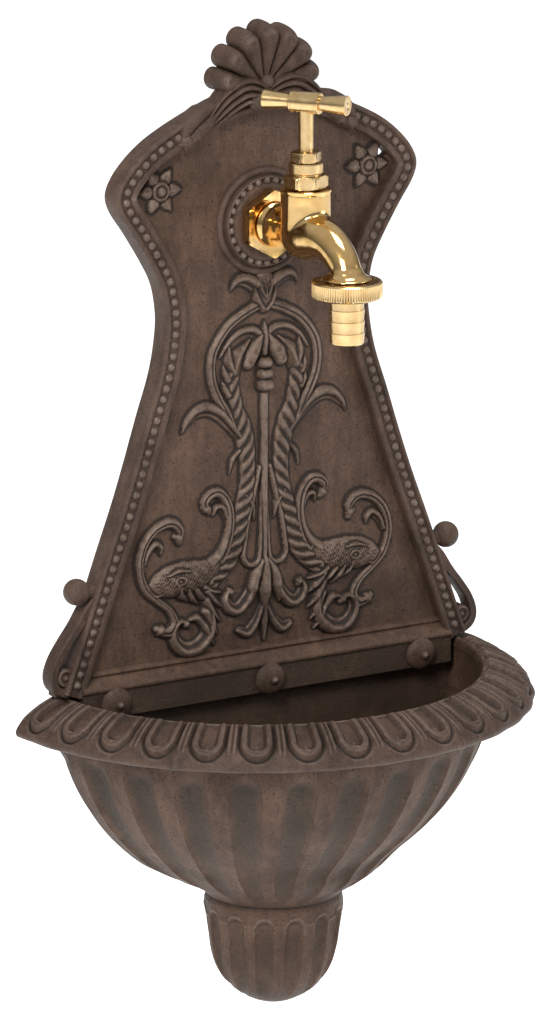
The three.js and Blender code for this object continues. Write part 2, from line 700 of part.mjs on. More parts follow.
// Bonnet: a hexagon with a round collar above it
function tapBonnet() {
  const foot = barrelTop + fitGap;
  const hexagon = new THREE.CylinderGeometry(bonnetHexAcross / 2, bonnetHexAcross / 2, bonnetTop - foot, 6)
    .rotateX(Math.PI / 2).translate(0, -tapForward, (bonnetTop + foot) / 2);
  const collar = turnedUpright([
    [0, bonnetTop - 1], [collarRadius * 0.86, bonnetTop - 1], [collarRadius * 0.86, bonnetTop + 1.6],
    [collarRadius, bonnetTop + 2.2], [collarRadius, collarTop - 2.2], [collarRadius * 0.7, collarTop - 2.2],
    [collarRadius * 0.7, collarTop], [0, collarTop],
  ], 0, -tapForward, 16);
  const bore = turnedUpright([
    [0, bonnetTop + 4], [spindleRadius + fitGap, bonnetTop + 4], [spindleRadius + fitGap, collarTop + 1],
    [0, collarTop + 1],
  ], 0, -tapForward, 14);
  return join([solid(hexagon), collar]).subtract(bore);
}

function glandNut() {
  const foot = collarTop + fitGap;
  const hexagon = new THREE.CylinderGeometry(glandAcross / 2, glandAcross / 2, glandTop - foot, 6)
    .rotateX(Math.PI / 2).rotateZ(12 * degree).translate(0, -tapForward, (glandTop + foot) / 2);
  const bore = turnedUpright([
    [0, foot - 1], [spindleRadius + fitGap, foot - 1], [spindleRadius + fitGap, glandTop + 1],
    [0, glandTop + 1],
  ], 0, -tapForward, 14);
  return solid(hexagon).subtract(bore);
}

function tapSpindle() {
  const foot = bonnetTop + 4 + fitGap;
  const top = handleHeight + handleRadius * 0.35;
  return turnedUpright([[0, foot], [spindleRadius, foot], [spindleRadius, top], [0, top]],
    0, -tapForward, 14);
}

// T-handle: a bar that flares to its ends, with a sleeve in the middle that takes the spindle
function tapHandle() {
  const half = handleLength / 2;
  const waist = handleRadius * 0.8;
  const bar = new THREE.LatheGeometry([
    [0, -half], [handleRadius, -half], [waist, -half * 0.37],
    [handleSleeve, -half * 0.34], [handleSleeve, half * 0.34], [waist, half * 0.37],
    [handleRadius, half], [0, half],
  ].map(([radius, place]) => new THREE.Vector2(radius, place)), 14)
    .rotateZ(-Math.PI / 2).rotateZ(-handleTurn * degree).translate(0, -tapForward, handleHeight);
  const socketTop = handleHeight + handleRadius * 0.35 + fitGap;
  const socket = turnedUpright([
    [0, handleHeight - 20], [spindleRadius + fitGap, handleHeight - 20],
    [spindleRadius + fitGap, socketTop], [0, socketTop],
  ], 0, -tapForward, 14);
  return solid(bar).subtract(socket);
}

// Knurled union nut, and the hose tail that it holds
function hoseNut() {
  const chamfer = 1;
  const ring = turnedUpright([
    [0, unionFoot], [unionRadius - chamfer, unionFoot], [unionRadius, unionFoot + chamfer],
    [unionRadius, unionTop - chamfer], [unionRadius - chamfer, unionTop], [0, unionTop],
  ], 0, -spoutForward, 20);
  const bore = turnedUpright([
    [0, unionFoot - 1], [tailRadius + fitGap, unionFoot - 1], [tailRadius + fitGap, unionFoot + 2],
    [neckRadius + fitGap, unionFoot + 2], [neckRadius + fitGap, unionTop + 1], [0, unionTop + 1],
  ], 0, -spoutForward, 16);
  return ring.subtract(bore);
}

function hoseTail() {
  const seat = unionFoot + 2 + fitGap;
  const head = unionTop - 5.5 - fitGap;
  const foot = unionFoot - tailLength;
  const barbs = 3;
  const step = tailLength / (barbs + 1);
  const barb = 0.5;
  const profile = [[tailBore, foot], [tailRadius - 0.8, foot]];
  for (let k = 1; k <= barbs; k += 1) {
    profile.push([tailRadius, foot + k * step], [tailRadius - barb, foot + k * step + 0.4]);
  }
  profile.push([tailRadius, seat], [neckRadius, seat], [neckRadius, head], [tailBore, head]);
  profile.push([tailBore, foot]);
  return turnedUpright(profile, 0, -spoutForward, 12);
}

const fountain = new THREE.Group();
fountain.add(piece('back_plate', backPlate(), iron()));
fountain.add(piece('basin', basin(), iron()));
fountain.add(piece('pendant', pendant(), iron()));
const boltNames = ['bolt_left', 'bolt_middle', 'bolt_right'];
boltPlaces().forEach((x, k) => fountain.add(piece(boltNames[k], bolt(x), iron())));
fountain.add(piece('tap_flange', tapFlange(), brass()));
fountain.add(piece('tap_body', tapBody(), brass()));
fountain.add(piece('tap_bonnet', tapBonnet(), brushedBrass()));
fountain.add(piece('tap_gland_nut', glandNut(), brushedBrass()));
fountain.add(piece('tap_spindle', tapSpindle(), brushedBrass()));
fountain.add(piece('tap_handle', tapHandle(), brushedBrass()));
fountain.add(piece('hose_nut', hoseNut(), brushedBrass()));
fountain.add(piece('hose_tail', hoseTail(), brushedBrass()));

export default fountain;
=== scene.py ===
"""A cast-iron wall fountain with a brass tap.

Lengths are in millimetres until a mesh is made. x runs across, y = 0 is the wall with -y in front of it, and
z = 0 is the level of the basin's lip.
"""

import math

import bpy
import numpy as np
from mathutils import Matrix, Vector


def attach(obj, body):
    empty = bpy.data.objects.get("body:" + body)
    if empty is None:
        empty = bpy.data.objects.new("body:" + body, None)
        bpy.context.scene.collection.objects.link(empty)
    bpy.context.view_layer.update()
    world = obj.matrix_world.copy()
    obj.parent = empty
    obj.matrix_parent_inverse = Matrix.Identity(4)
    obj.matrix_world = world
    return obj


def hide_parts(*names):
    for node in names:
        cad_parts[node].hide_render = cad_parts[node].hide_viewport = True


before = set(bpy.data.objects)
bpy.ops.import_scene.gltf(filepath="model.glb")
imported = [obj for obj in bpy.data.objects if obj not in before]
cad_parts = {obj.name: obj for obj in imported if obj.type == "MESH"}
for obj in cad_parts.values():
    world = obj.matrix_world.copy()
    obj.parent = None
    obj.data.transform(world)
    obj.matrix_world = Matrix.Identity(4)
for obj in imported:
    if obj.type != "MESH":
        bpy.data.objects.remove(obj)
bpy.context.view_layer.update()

MM = 0.001
NO_TRIANGLES = np.zeros((0, 3), int)

# Basin
CAST_WALL, BACK_WALL = 5.5, 6.0
CREST_RADIUS, CREST_HEIGHT = 150.0, 20.0
BOWL_RADIUS, NECK_LEVEL, PENDANT_FORWARD = 149.0, -129.5, 20.6
EGGS, RIBS, PENDANT_RIBS = 17, 13, 9
FLUTE_DEPTH, RIB_SHARE = 3.7, 0.40

# Back plate
PLATE_FOOT, PLATE_HEIGHT, FOOT_HALF_WIDTH = 20.7, 377.0, 155.0
BORDER_WIDTH, BORDER_DEPTH, BEAD_INSET, BEAD_RADIUS, BEAD_PITCH = 15.0, 16.0, 7.0, 2.8, 7.1
FIELD_FRONT, FIELD_BACK = 8.5, 3.0
LEDGE_TOP = PLATE_FOOT + 12.0
BOSS_LEVEL, BOSS_RADIUS, BOSS_FRONT, BOSS_BEADS = PLATE_FOOT + 296.0, 35.6, 15.2, 26
LEDGE_HALF, WALL_TOP_HALF = 141.4, 148.0
SPARE_ROWS = 7
ROSETTE_OUT, ROSETTE_LEVEL, ROSETTE_RADIUS = 78.5, PLATE_FOOT + 324.0, 16.0
SCREW_OUT, SCREW_LEVEL, SCREW_RADIUS = 90.7, PLATE_FOOT + 331.5, 3.5
SHELL_RADIUS, SHELL_LOBES, LOBE_ANGLE, SHELL_FRONT = 43.1, 7, math.radians(25.5), 20.0
SHELL_HUB = PLATE_FOOT + PLATE_HEIGHT * 1.02 - 1.0

# Side volutes and bolts
BALL_RADIUS, BALL_OUT, BALL_LEVEL = 8.7, 141.5, PLATE_FOOT + 68.0
BOLT_SPACING, BOLT_LEVEL, BOLT_RADIUS = 117.0, 12.6, 10.7

# Tap
TAP_FORWARD, INLET_RADIUS, FLANGE_ACROSS, FLANGE_THICKNESS = 60.0, 11.5, 45.6, 8.0
BARREL_RADIUS, BARREL_TOP = 16.8, BOSS_LEVEL + 30.5
BONNET_TOP = BARREL_TOP + 9.0
COLLAR_TOP = BONNET_TOP + 8.0
GLAND_TOP = COLLAR_TOP + 7.0
HANDLE_LEVEL = GLAND_TOP + 31.6
SPINDLE_RADIUS, COLLAR_RADIUS = 4.9, 11.2
HANDLE_LENGTH, HANDLE_RADIUS, SLEEVE_RADIUS, HANDLE_TURN = 58.0, 6.6, 7.0, math.radians(55.0)
SPOUT_FORWARD = 109.0
UNION_TOP, UNION_RISE, UNION_RADIUS = BOSS_LEVEL - 20.5, 11.0, 22.8
TAIL_RADIUS, TAIL_LENGTH, TAIL_BORE = 11.5, 30.0, 8.0


# Lines

def smooth_line(points, per_span=16):
    """A smooth line through the points: on every span the Catmull-Rom cubic of its four nearest points."""
    p = np.asarray(points, float)
    p = np.vstack([2 * p[0] - p[1], p, 2 * p[-1] - p[-2]])
    t = (np.arange(per_span) / per_span)[None, :, None]
    a, b, c, d = p[:-3, None], p[1:-2, None], p[2:-1, None], p[3:, None]
    line = 0.5 * (2 * b + (c - a) * t + (2 * a - 5 * b + 4 * c - d) * t**2 + (3 * b - a - 3 * c + d) * t**3)
    return np.vstack([line.reshape(-1, p.shape[1]), p[-2:-1]])


def run_along(line):
    """Way run from the start of a line to each of its points: the running sum of its steps."""
    steps = np.linalg.norm(np.diff(line[:, :2], axis=0), axis=1)
    return np.concatenate([[0.0], np.cumsum(steps)])


def evenly(line, gap):
    """The same line with its points an equal way apart, about gap."""
    run = run_along(line)
    place = np.linspace(0, run[-1], max(int(round(run[-1] / gap)), 2) + 1)
    return np.column_stack([np.interp(place, run, line[:, k]) for k in range(line.shape[1])])


def along(values, share):
    """A value read along a short list of values, share 0 at its start and 1 at its end."""
    return np.interp(share, np.linspace(0, 1, len(values)), values)


def sideways(line):
    """At each point of a flat line, the unit vector a quarter turn to the right of its way."""
    way = np.gradient(line[:, :2], axis=0)
    way /= np.linalg.norm(way, axis=1)[:, None]
    return np.column_stack([way[:, 1], -way[:, 0]])


def swell(value, low, high):
    """0 below low, 1 above high, and the smooth cubic 3s^2 - 2s^3 between them."""
    s = np.clip((value - low) / (high - low), 0, 1)
    return s * s * (3 - 2 * s)


def hump(value, middle, reach):
    """A rounded ridge of height 1: the bell exp(-((value - middle) / reach)^2)."""
    return np.exp(-(((value - middle) / reach) ** 2))


# Skins

def outward(points, quads, triangles):
    """Turns all faces over where the skin encloses a negative volume, so that they point out."""
    corners = np.vstack([quads[:, [0, 1, 2]], quads[:, [0, 2, 3]], triangles])
    a, b, c = (points[corners[:, k]] for k in range(3))
    if np.einsum("ij,ij->i", a, np.cross(b, c)).sum() < 0:
        quads, triangles = quads[:, ::-1], triangles[:, ::-1]
    return points, quads, triangles


def net(grid, wrap_rows=False, wrap_columns=False):
    """Four-sided faces between the neighbours of a grid of points, and its last line to its first where it wraps."""
    ids = np.arange(grid.shape[0] * grid.shape[1]).reshape(grid.shape[:2])
    if wrap_rows:
        ids = np.vstack([ids, ids[:1]])
    if wrap_columns:
        ids = np.hstack([ids, ids[:, :1]])
    quads = np.stack([ids[:-1, :-1], ids[:-1, 1:], ids[1:, 1:], ids[1:, :-1]], -1).reshape(-1, 4)
    return grid.reshape(-1, 3), quads


def skin(rings, ends=None):
    """A closed skin over rings of points. Every ring meets itself, and fans to the two ends close it."""
    count, around = rings.shape[:2]
    points, quads = net(rings, wrap_columns=True)
    if ends is None:
        ends = rings[0].mean(0), rings[-1].mean(0)
    points = np.vstack([points, np.array(ends, float)])
    k = np.arange(around)
    after = (k + 1) % around
    last = (count - 1) * around
    first_fan = np.column_stack([np.full(around, count * around), after, k])
    last_fan = np.column_stack([np.full(around, count * around + 1), last + k, last + after])
    return outward(points, quads, np.vstack([first_fan, last_fan]))


def hoop(rings):
    """A closed skin like a tyre: the rings meet themselves, and the last ring meets the first."""
    points, quads = net(rings, wrap_rows=True, wrap_columns=True)
    return outward(points, quads, NO_TRIANGLES)


def round_turn(sides):
    """The angles of one whole turn, in equal steps."""
    return np.arange(sides) * 2 * np.pi / sides


def rings_at(radius, turn, height, centre, upright=True):
    """Points round an axis: the radius times the sine and cosine of the turn, at the height along the axis,
    which stands upright at (x, y), or goes out of the wall at (x, z)."""
    across = centre[0] + radius * np.sin(turn)
    if upright:
        return np.stack([across, centre[1] - radius * np.cos(turn), height], -1)
    return np.stack([across, -height, centre[1] + radius * np.cos(turn)], -1)


def turned(profile, sides=96, centre=(0, 0), upright=True):
    """A turned piece: each profile point (radius, height) runs once round the axis. The profile starts and ends
    on the axis."""
    profile = np.asarray(profile, float)
    turn = round_turn(sides)
    rings = rings_at(profile[:, :1] + 0 * turn, turn, profile[:, 1:2] + 0 * turn, centre, upright)
    return skin(rings[1:-1], (rings[0, 0], rings[-1, 0]))


def turned_hollow(profile, sides=96, centre=(0, 0), waves=None):
    """An upright turned piece with a hole along its axis: its profile closes on itself. waves(turn, height) is
    added to the radius."""
    profile = np.asarray(profile, float)
    turn = round_turn(sides)
    radius, height = profile[:, :1] + 0 * turn, profile[:, 1:2] + 0 * turn
    if waves is not None:
        radius = radius + waves(turn, height)
    return hoop(rings_at(radius, turn, height, centre))


def moved(pairs, across, up=0.0):
    """The pairs with one number added to each first value and another to each second."""
    return [(a + across, b + up) for a, b in pairs]


def balls(centres, radius, sides=12, rows=8):
    """Small balls at the centres: every one the same turned half circle, all made in one array."""
    tilt = np.linspace(0, np.pi, rows + 1)
    profile = np.column_stack([np.sin(tilt), -np.cos(tilt)]) * radius
    points, quads, triangles = turned(profile, sides)
    centres = np.asarray(centres, float)
    shift = np.arange(len(centres))[:, None, None] * len(points)
    return ((points[None] + centres[:, None]).reshape(-1, 3),
            (quads[None] + shift).reshape(-1, 4), (triangles[None] + shift).reshape(-1, 3))


def bar(profile, low, high, middle=None):
    """A straight moulding: the closed outline of (depth, height) points drawn from x = low to x = high. Its ends
    fan out from the middle, which is the mean point unless it is given."""
    profile = np.asarray(profile, float)
    depth, height = profile.mean(0) if middle is None else middle
    rings = [np.column_stack([np.full(len(profile), x), -profile[:, 0], profile[:, 1]]) for x in (low, high)]
    return skin(np.array(rings), ((low, -depth, height), (high, -depth, height)))


def all_of(*skins):
    """Several skins as one set of points and faces."""
    points, quads, triangles, count = [], [], [], 0
    for p, q, t in skins:
        points.append(p)
        quads.append(q + count)
        triangles.append(t + count)
        count += len(p)
    return np.vstack(points), np.vstack(quads), np.vstack(triangles)


def mirrored(part):
    """The same skin on the other side of x = 0, with its faces turned to stay outwards."""
    points, quads, triangles = part
    return points * np.array([-1, 1, 1]), quads[:, ::-1], triangles[:, ::-1]


def both(part):
    """The skin and its mirror image."""
    return all_of(part, mirrored(part))


def mesh_of(name, part, crease=38.0, sharp=None):
    """A mesh in metres from a skin in millimetres, smooth but for edges sharper than the crease, in degrees, and
    for the edges between any two of the sharp points."""
    points, quads, triangles = part
    mesh = bpy.data.meshes.new(name)
    mesh.vertices.add(len(points))
    mesh.vertices.foreach_set("co", (points * MM).astype(np.float32).ravel())
    corners = np.concatenate([quads.ravel(), triangles.ravel()]).astype(np.int32)
    mesh.loops.add(len(corners))
    mesh.loops.foreach_set("vertex_index", corners)
    mesh.polygons.add(len(quads) + len(triangles))
    starts = np.concatenate([np.arange(len(quads)) * 4, quads.size + np.arange(len(triangles)) * 3])
    mesh.polygons.foreach_set("loop_start", starts.astype(np.int32))
    mesh.update(calc_edges=True)
    mesh.polygons.foreach_set("use_smooth", np.ones(len(mesh.polygons), bool))
    mesh.set_sharp_from_angle(angle=math.radians(crease))
    if sharp is not None:
        at_end = np.zeros(len(points), bool)
        at_end[sharp] = True
        ends = np.zeros(len(mesh.edges) * 2, np.int32)
        mesh.edges.foreach_get("vertices", ends)
        creased = np.zeros(len(mesh.edges), bool)
        mesh.attributes["sharp_edge"].data.foreach_get("value", creased)
        mesh.attributes["sharp_edge"].data.foreach_set("value", creased | at_end[ends.reshape(-1, 2)].all(1))
    return mesh


def read_points(mesh, what="co"):
    """The mesh's points, or its normals, as rows of three numbers."""
    values = np.zeros(len(mesh.vertices) * 3)
    mesh.vertices.foreach_get(what, values)
    return values.reshape(-1, 3)


def to_scene(name, data):
    """A new object with the data, in the scene."""
    thing = bpy.data.objects.new(name, data)
    bpy.context.scene.collection.objects.link(thing)
    return thing


def note(mesh, name, values):
    """Writes one number per point of the mesh as an attribute that the finish reads."""
    store = mesh.attributes.new(name, "FLOAT", "POINT")
    store.data.foreach_set("value", np.asarray(values, np.float32))


def note_wear_and_shade(mesh):
    """Writes how far each point stands out of its neighbours, as an attribute for rubbing and painted shade: 0.5
    where the surface is flat, towards 1 on ridges, which the finish shows with rubbing and a painted sheen, and
    towards 0 in hollows, which it darkens with painted shade. It is the step from a point to the mean of its
    neighbours along the normal, over the square of the mean edge, evened out three times."""
    count = len(mesh.vertices)
    co, normal = read_points(mesh) / MM, read_points(mesh, "normal")
    ends = np.zeros(len(mesh.edges) * 2, np.int32)
    mesh.edges.foreach_get("vertices", ends)
    a, b = ends.reshape(-1, 2).T
    degree = np.maximum(np.bincount(a, minlength=count) + np.bincount(b, minlength=count), 1)

    def mean_round(value):
        return (np.bincount(a, value[b], count) + np.bincount(b, value[a], count)) / degree

    middle = np.column_stack([mean_round(co[:, k]) for k in range(3)])
    length = np.linalg.norm(co[a] - co[b], axis=1)
    size = (np.bincount(a, length, count) + np.bincount(b, length, count)) / degree
    bend = -((middle - co) * normal).sum(1) / np.maximum(size, 0.05) ** 2
    for _ in range(3):
        bend = 0.5 * bend + 0.5 * mean_round(bend)
    note(mesh, "wear_and_shade", np.clip(0.5 + bend * 1.6, 0, 1))


def settle(name, part, finish, body, slot, nodes, crease=38.0, shade_and_wear=False):
    """One finished piece: its mesh, its finish, the body it rides on, its slot, which is not used, and the solids it
    stands for.
    """
    mesh = part if isinstance(part, bpy.types.Mesh) else mesh_of(name, part, crease)
    if shade_and_wear and "wear_and_shade" not in mesh.attributes:
        note_wear_and_shade(mesh)
    mesh.materials.append(finish)
    thing = to_scene(name, mesh)
    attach(thing, body)
    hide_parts(*nodes)
    return thing


# Finishes

class Wire:
    """One output of a node. Sums and products of wires and numbers add Math nodes."""

    def __init__(self, finish, socket):
        self.finish, self.socket = finish, socket

    def maths(self, operation, first, second):
        return self.finish.add("ShaderNodeMath", {"operation": operation}, {0: first, 1: second})

    def __add__(self, other):
        return self.maths("ADD", self, other)

    def __radd__(self, other):
        return self.maths("ADD", other, self)

    def __sub__(self, other):
        return self.maths("SUBTRACT", self, other)

    def __rsub__(self, other):
        return self.maths("SUBTRACT", other, self)

    def __mul__(self, other):
        return self.maths("MULTIPLY", self, other)

    def __rmul__(self, other):
        return self.maths("MULTIPLY", other, self)

    def between(self, low, high):
        """0 at low, 1 at high, smoothly, and no further."""
        return self.finish.add(
            "ShaderNodeMapRange", {"interpolation_type": "SMOOTHSTEP", "clamp": True},
            {"Value": self, "From Min": low, "From Max": high})


class Finish:
    """A material with one Principled shader. add makes any other node."""

    def __init__(self, name, **constants):
        self.material = bpy.data.materials.new(name)
        self.material.use_nodes = True
        self.tree = self.material.node_tree
        self.tree.nodes.clear()
        self.surface = self.tree.nodes.new("ShaderNodeBsdfPrincipled")
        out = self.tree.nodes.new("ShaderNodeOutputMaterial")
        self.tree.links.new(self.surface.outputs["BSDF"], out.inputs["Surface"])
        for socket, value in constants.items():
            self.surface.inputs[socket.replace("_", " ")].default_value = value

    def join(self, value, socket):
        if isinstance(value, Wire):
            self.tree.links.new(value.socket, socket)
        else:
            socket.default_value = value

    def add(self, kind, settings=None, values=None, output=0):
        """A node of that kind: its settings first, then its inputs, by name or number, then one of its outputs."""
        node = self.tree.nodes.new(kind)
        for key, value in (settings or {}).items():
            setattr(node, key, value)
        for key, value in (values or {}).items():
            self.join(value, node.inputs[key])
        return Wire(self, node.outputs[output])

    def mixed(self, share, first, second):
        """A colour between two colours."""
        return self.add("ShaderNodeMix", {"data_type": "RGBA"}, {0: share, 6: first, 7: second}, 2)

    def noise(self, place, scale, detail=3.0, roughness=0.55):
        return self.add("ShaderNodeTexNoise", None,
                        {"Vector": place, "Scale": scale, "Detail": detail, "Roughness": roughness})

    def wire_up(self, **sockets):
        for name, value in sockets.items():
            self.join(value, self.surface.inputs[name.replace("_", " ")])
        return self.material


def iron_finish(name, brown, rub_and_sheen_grey):
    """Brown patina on sand-cast iron. Broad and fine noise vary the brown, hollows get painted shade near black,
    ridges are made greyer and glossier by rubbing and a painted sheen, and an attribute of painted shade darkens
    the flutes."""
    coat = Finish(name, IOR=1.40, Specular_IOR_Level=0.28)
    place = coat.add("ShaderNodeTexCoord", output="Object")
    # Curvature attribute: low in hollows, which get painted shade, high on ridges, which get rubbing and a painted
    # sheen.
    wear_and_shade = coat.add("ShaderNodeAttribute", {"attribute_name": "wear_and_shade"}, output="Fac")
    # Painted shade, written as an attribute on the flutes, the basin's inside and the strip under the ledge.
    painted_shade = coat.add("ShaderNodeAttribute", {"attribute_name": "painted_shade"}, output="Fac")
    broad = coat.noise(place, 24.0, 5.0, 0.62)
    blots = coat.noise(place, 230.0, 5.0, 0.66)
    sand = coat.noise(place, 640.0, 4.0, 0.68)
    run_down = coat.add("ShaderNodeMapping", None, {"Vector": place, "Scale": (1.0, 1.0, 0.22)})
    streaks = coat.noise(run_down, 170.0, 4.0, 0.65)
    shade = (broad * 0.34 + blots * 0.24 + streaks * 0.24 + sand * 0.24).between(0.42, 0.66)
    base = coat.mixed(shade, tuple(0.55 * c for c in brown) + (1,), tuple(1.45 * c for c in brown) + (1,))
    specks = (sand * 0.72 + blots * 0.28).between(0.50, 0.64)
    base = coat.mixed(specks * 0.82, base, (0.010, 0.008, 0.007, 1))
    # Painted shade: hollows are darkened nearly to black.
    hollow = 1 - wear_and_shade.between(0.18, 0.48)
    base = coat.mixed(hollow * 0.80, base, (0.009, 0.007, 0.006, 1))
    # Painted shade from that attribute, broken up by noise, towards a dark brown.
    patchy_painted_shade = painted_shade * (blots * 0.45 + sand * 0.25 + streaks * 0.45).between(0.34, 0.68)
    base = coat.mixed(patchy_painted_shade * 0.85, base, (0.020, 0.018, 0.013, 1))
    # Ridges turn greyer and more metallic: real rubbing and a painted sheen.
    rub_and_sheen = wear_and_shade.between(0.54, 0.90) * (blots * 0.6 + broad * 0.5).between(0.34, 0.66)
    base = coat.mixed(rub_and_sheen * 0.70, base, tuple(rub_and_sheen_grey) + (1,))
    gloss = 0.54 - rub_and_sheen * 0.20 + specks * 0.16 - shade * 0.05
    lumps = coat.add("ShaderNodeBump", None, {"Strength": 0.40, "Distance": 0.0010, "Height": blots})
    grain = coat.add("ShaderNodeBump", None,
                     {"Strength": 0.75, "Distance": 0.0008, "Height": sand, "Normal": lumps})
    return coat.wire_up(Base_Color=base, Metallic=rub_and_sheen * 0.45, Roughness=gloss, Normal=grain)


def polished_brass():
    """Bright cast brass: near-mirror gloss, with faint waves from buffing and a slightly uneven tone."""
    metal = Finish("polished_brass", Metallic=1.0)
    place = metal.add("ShaderNodeTexCoord", output="Object")
    haze = metal.noise(place, 120.0, 3.0)
    waves = metal.noise(place, 70.0, 1.0)
    tone = metal.mixed(haze.between(0.35, 0.7), (0.74, 0.50, 0.22, 1), (0.65, 0.41, 0.15, 1))
    gloss = 0.10 + haze.between(0.4, 0.75) * 0.10
    buffed = metal.add("ShaderNodeBump", None, {"Strength": 0.10, "Distance": 0.002, "Height": waves})
    return metal.wire_up(Base_Color=tone, Roughness=gloss, Normal=buffed)


def turned_brass(name, stretch):
    """Lathe-turned brass: fine rings or lines from noise that is stretched across the cut, over a duller gold."""
    metal = Finish(name, Metallic=1.0)
    place = metal.add("ShaderNodeTexCoord", output="Object")
    drawn = metal.add("ShaderNodeMapping", None, {"Vector": place, "Scale": stretch})
    lines = metal.noise(drawn, 60.0, 4.0, 0.7)
    haze = metal.noise(place, 160.0, 3.0)
    tone = metal.mixed(haze.between(0.35, 0.7), (0.68, 0.49, 0.25, 1), (0.60, 0.41, 0.185, 1))
    gloss = 0.17 + lines.between(0.3, 0.75) * 0.14
    cut = metal.add("ShaderNodeBump", None, {"Strength": 0.10, "Distance": 0.0003, "Height": lines})
    return metal.wire_up(Base_Color=tone, Roughness=gloss, Normal=cut)


IRON_BROWN = iron_finish("iron_brown", (0.080, 0.046, 0.030), (0.200, 0.150, 0.120))
IRON_DARK = iron_finish("iron_dark", (0.066, 0.039, 0.027), (0.210, 0.162, 0.132))
BRASS = polished_brass()
BRASS_RINGS = turned_brass("turned_brass", (1.0, 1.0, 42.0))
BRASS_PLAIN = turned_brass("satin_brass", (1.0, 1.0, 1.0))

# Camera, lights and floor

LOOK_AT = np.array([0.0077, -0.0130, 0.1240])
CAMERA_DISTANCE, CAMERA_TURN, CAMERA_RISE = 5.398, math.radians(-32.0), math.radians(14.22)


def aim(thing, target):
    thing.rotation_euler = (Vector(target) - thing.location).to_track_quat("-Z", "Y").to_euler()


def set_up_camera():
    data = bpy.data.cameras.new("view")
    data.lens, data.sensor_width, data.clip_end = 293.1, 36.0, 50.0
    camera = to_scene("view", data)
    out = np.array([math.sin(CAMERA_TURN) * math.cos(CAMERA_RISE),
                    -math.cos(CAMERA_TURN) * math.cos(CAMERA_RISE), math.sin(CAMERA_RISE)])
    camera.location = LOOK_AT + out * CAMERA_DISTANCE
    aim(camera, LOOK_AT)
    bpy.context.scene.camera = camera


def soft_light(name, place, size, power, target=(0, -0.05, 0.12)):
    data = bpy.data.lights.new(name, "AREA")
    data.shape, data.size, data.energy = "SQUARE", size, power
    lamp = to_scene(name, data)
    lamp.location = place
    aim(lamp, target)


def set_up_studio():
    floor = bpy.data.meshes.new("floor")
    reach, level = 30.0, -0.42
    floor.from_pydata([(-reach, -reach, level), (reach, -reach, level), (reach, reach, level),
                       (-reach, reach, level)], [], [(0, 1, 2, 3)])
    paper = Finish("pale_floor", Base_Color=(0.92, 0.92, 0.92, 1), Roughness=0.9,
                   Emission_Color=(1, 1, 1, 1), Emission_Strength=0.55)
    floor.materials.append(paper.material)
    to_scene("floor", floor)
    world = bpy.data.worlds.new("studio")
    world.use_nodes = True
    tree = world.node_tree
    way = tree.nodes.new("ShaderNodeSeparateXYZ")
    tree.links.new(tree.nodes.new("ShaderNodeTexCoord").outputs["Generated"], way.inputs[0])
    rise = tree.nodes.new("ShaderNodeMapRange")
    for name, value in (("From Min", 0.05), ("From Max", 0.7), ("To Min", 0.16), ("To Max", 0.62)):
        rise.inputs[name].default_value = value
    tree.links.new(way.outputs["Z"], rise.inputs["Value"])
    tree.links.new(rise.outputs[0], tree.nodes["Background"].inputs["Strength"])
    tree.nodes["Background"].inputs["Color"].default_value = (0.97, 0.98, 1.0, 1)
    bpy.context.scene.world = world
    bpy.context.scene.view_settings.view_transform = "Standard"
    soft_light("key", (-1.9, -1.7, 2.0), 1.0, 84.0)
    soft_light("fill", (2.2, -1.6, 0.6), 1.2, 20.0)
    soft_light("top", (0.3, -0.25, 2.4), 0.8, 22.0)


# Back plate

OUTLINE_SHARES = [
    (1.04, -0.045), (0.818, 0.204), (0.717, 0.312), (0.654, 0.386), (0.592, 0.464), (0.528, 0.542),
    (0.499, 0.606), (0.497, 0.649), (0.52, 0.697), (0.574, 0.74), (0.65, 0.79), (0.713, 0.828),
    (0.734, 0.857), (0.709, 0.885), (0.65, 0.914), (0.566, 0.942), (0.47, 0.964), (0.357, 0.985),
    (0.24, 1.004), (0.12, 1.016), (0, 1.02),
]


def plate_edge(gap=1.6):
    """Right half of the plate's outline, from the foot to the top of the arch."""
    shares = np.array(OUTLINE_SHARES)
    line = np.column_stack([shares[:, 0] * FOOT_HALF_WIDTH, PLATE_FOOT + shares[:, 1] * PLATE_HEIGHT])
    return evenly(smooth_line(line), gap)


def inner_edge(distance, gap=1.6):
    """The right half outline moved inwards: every point goes a distance along the line's own normal."""
    line = plate_edge(gap)
    return line - sideways(line) * distance


EDGE_SECTION = [
    (0, 0), (0, 13.6), (0.35, 14.9), (1.1, 15.7), (2.0, 16.0), (2.9, 15.8), (3.5, 15.2), (3.9, 14.6),
    (7.0, 14.4), (10.1, 14.6), (10.5, 15.2), (11.1, 15.8), (12.0, 16.0), (13.6, 16.0), (14.5, 15.6),
    (15.0, 14.7), (15.0, 9.0), (15.0, 3.0), (9.5, 10.5), (5.5, 0),
]


def plate_border():
    """The border: its section of (inset, depth) points carried round the outline, and rows of beads in its groove."""
    right = plate_edge()
    normal = sideways(right)
    normal[-1] = (0, 1)
    section = np.array(EDGE_SECTION, float)
    x = right[:, None, 0] - normal[:, None, 0] * section[:, 0]
    z = right[:, None, 1] - normal[:, None, 1] * section[:, 0]
    keep = z.min(1) > PLATE_FOOT - 4
    half = np.stack([x, -section[:, 1] + 0 * x, np.maximum(z, PLATE_FOOT - 1.2)], -1)[keep]
    other = half[:-1][::-1] * np.array([-1, 1, 1])
    rail = skin(np.vstack([half, other]))
    row = evenly(inner_edge(BEAD_INSET), BEAD_PITCH)
    row = row[(row[:, 1] > PLATE_FOOT + 5) & ((row[:, 0] > 66) | (row[:, 1] < PLATE_FOOT + 300))]
    centres = np.column_stack([row[:, 0], np.full(len(row), -14.2), row[:, 1]])
    return all_of(rail, both(balls(centres, BEAD_RADIUS)))


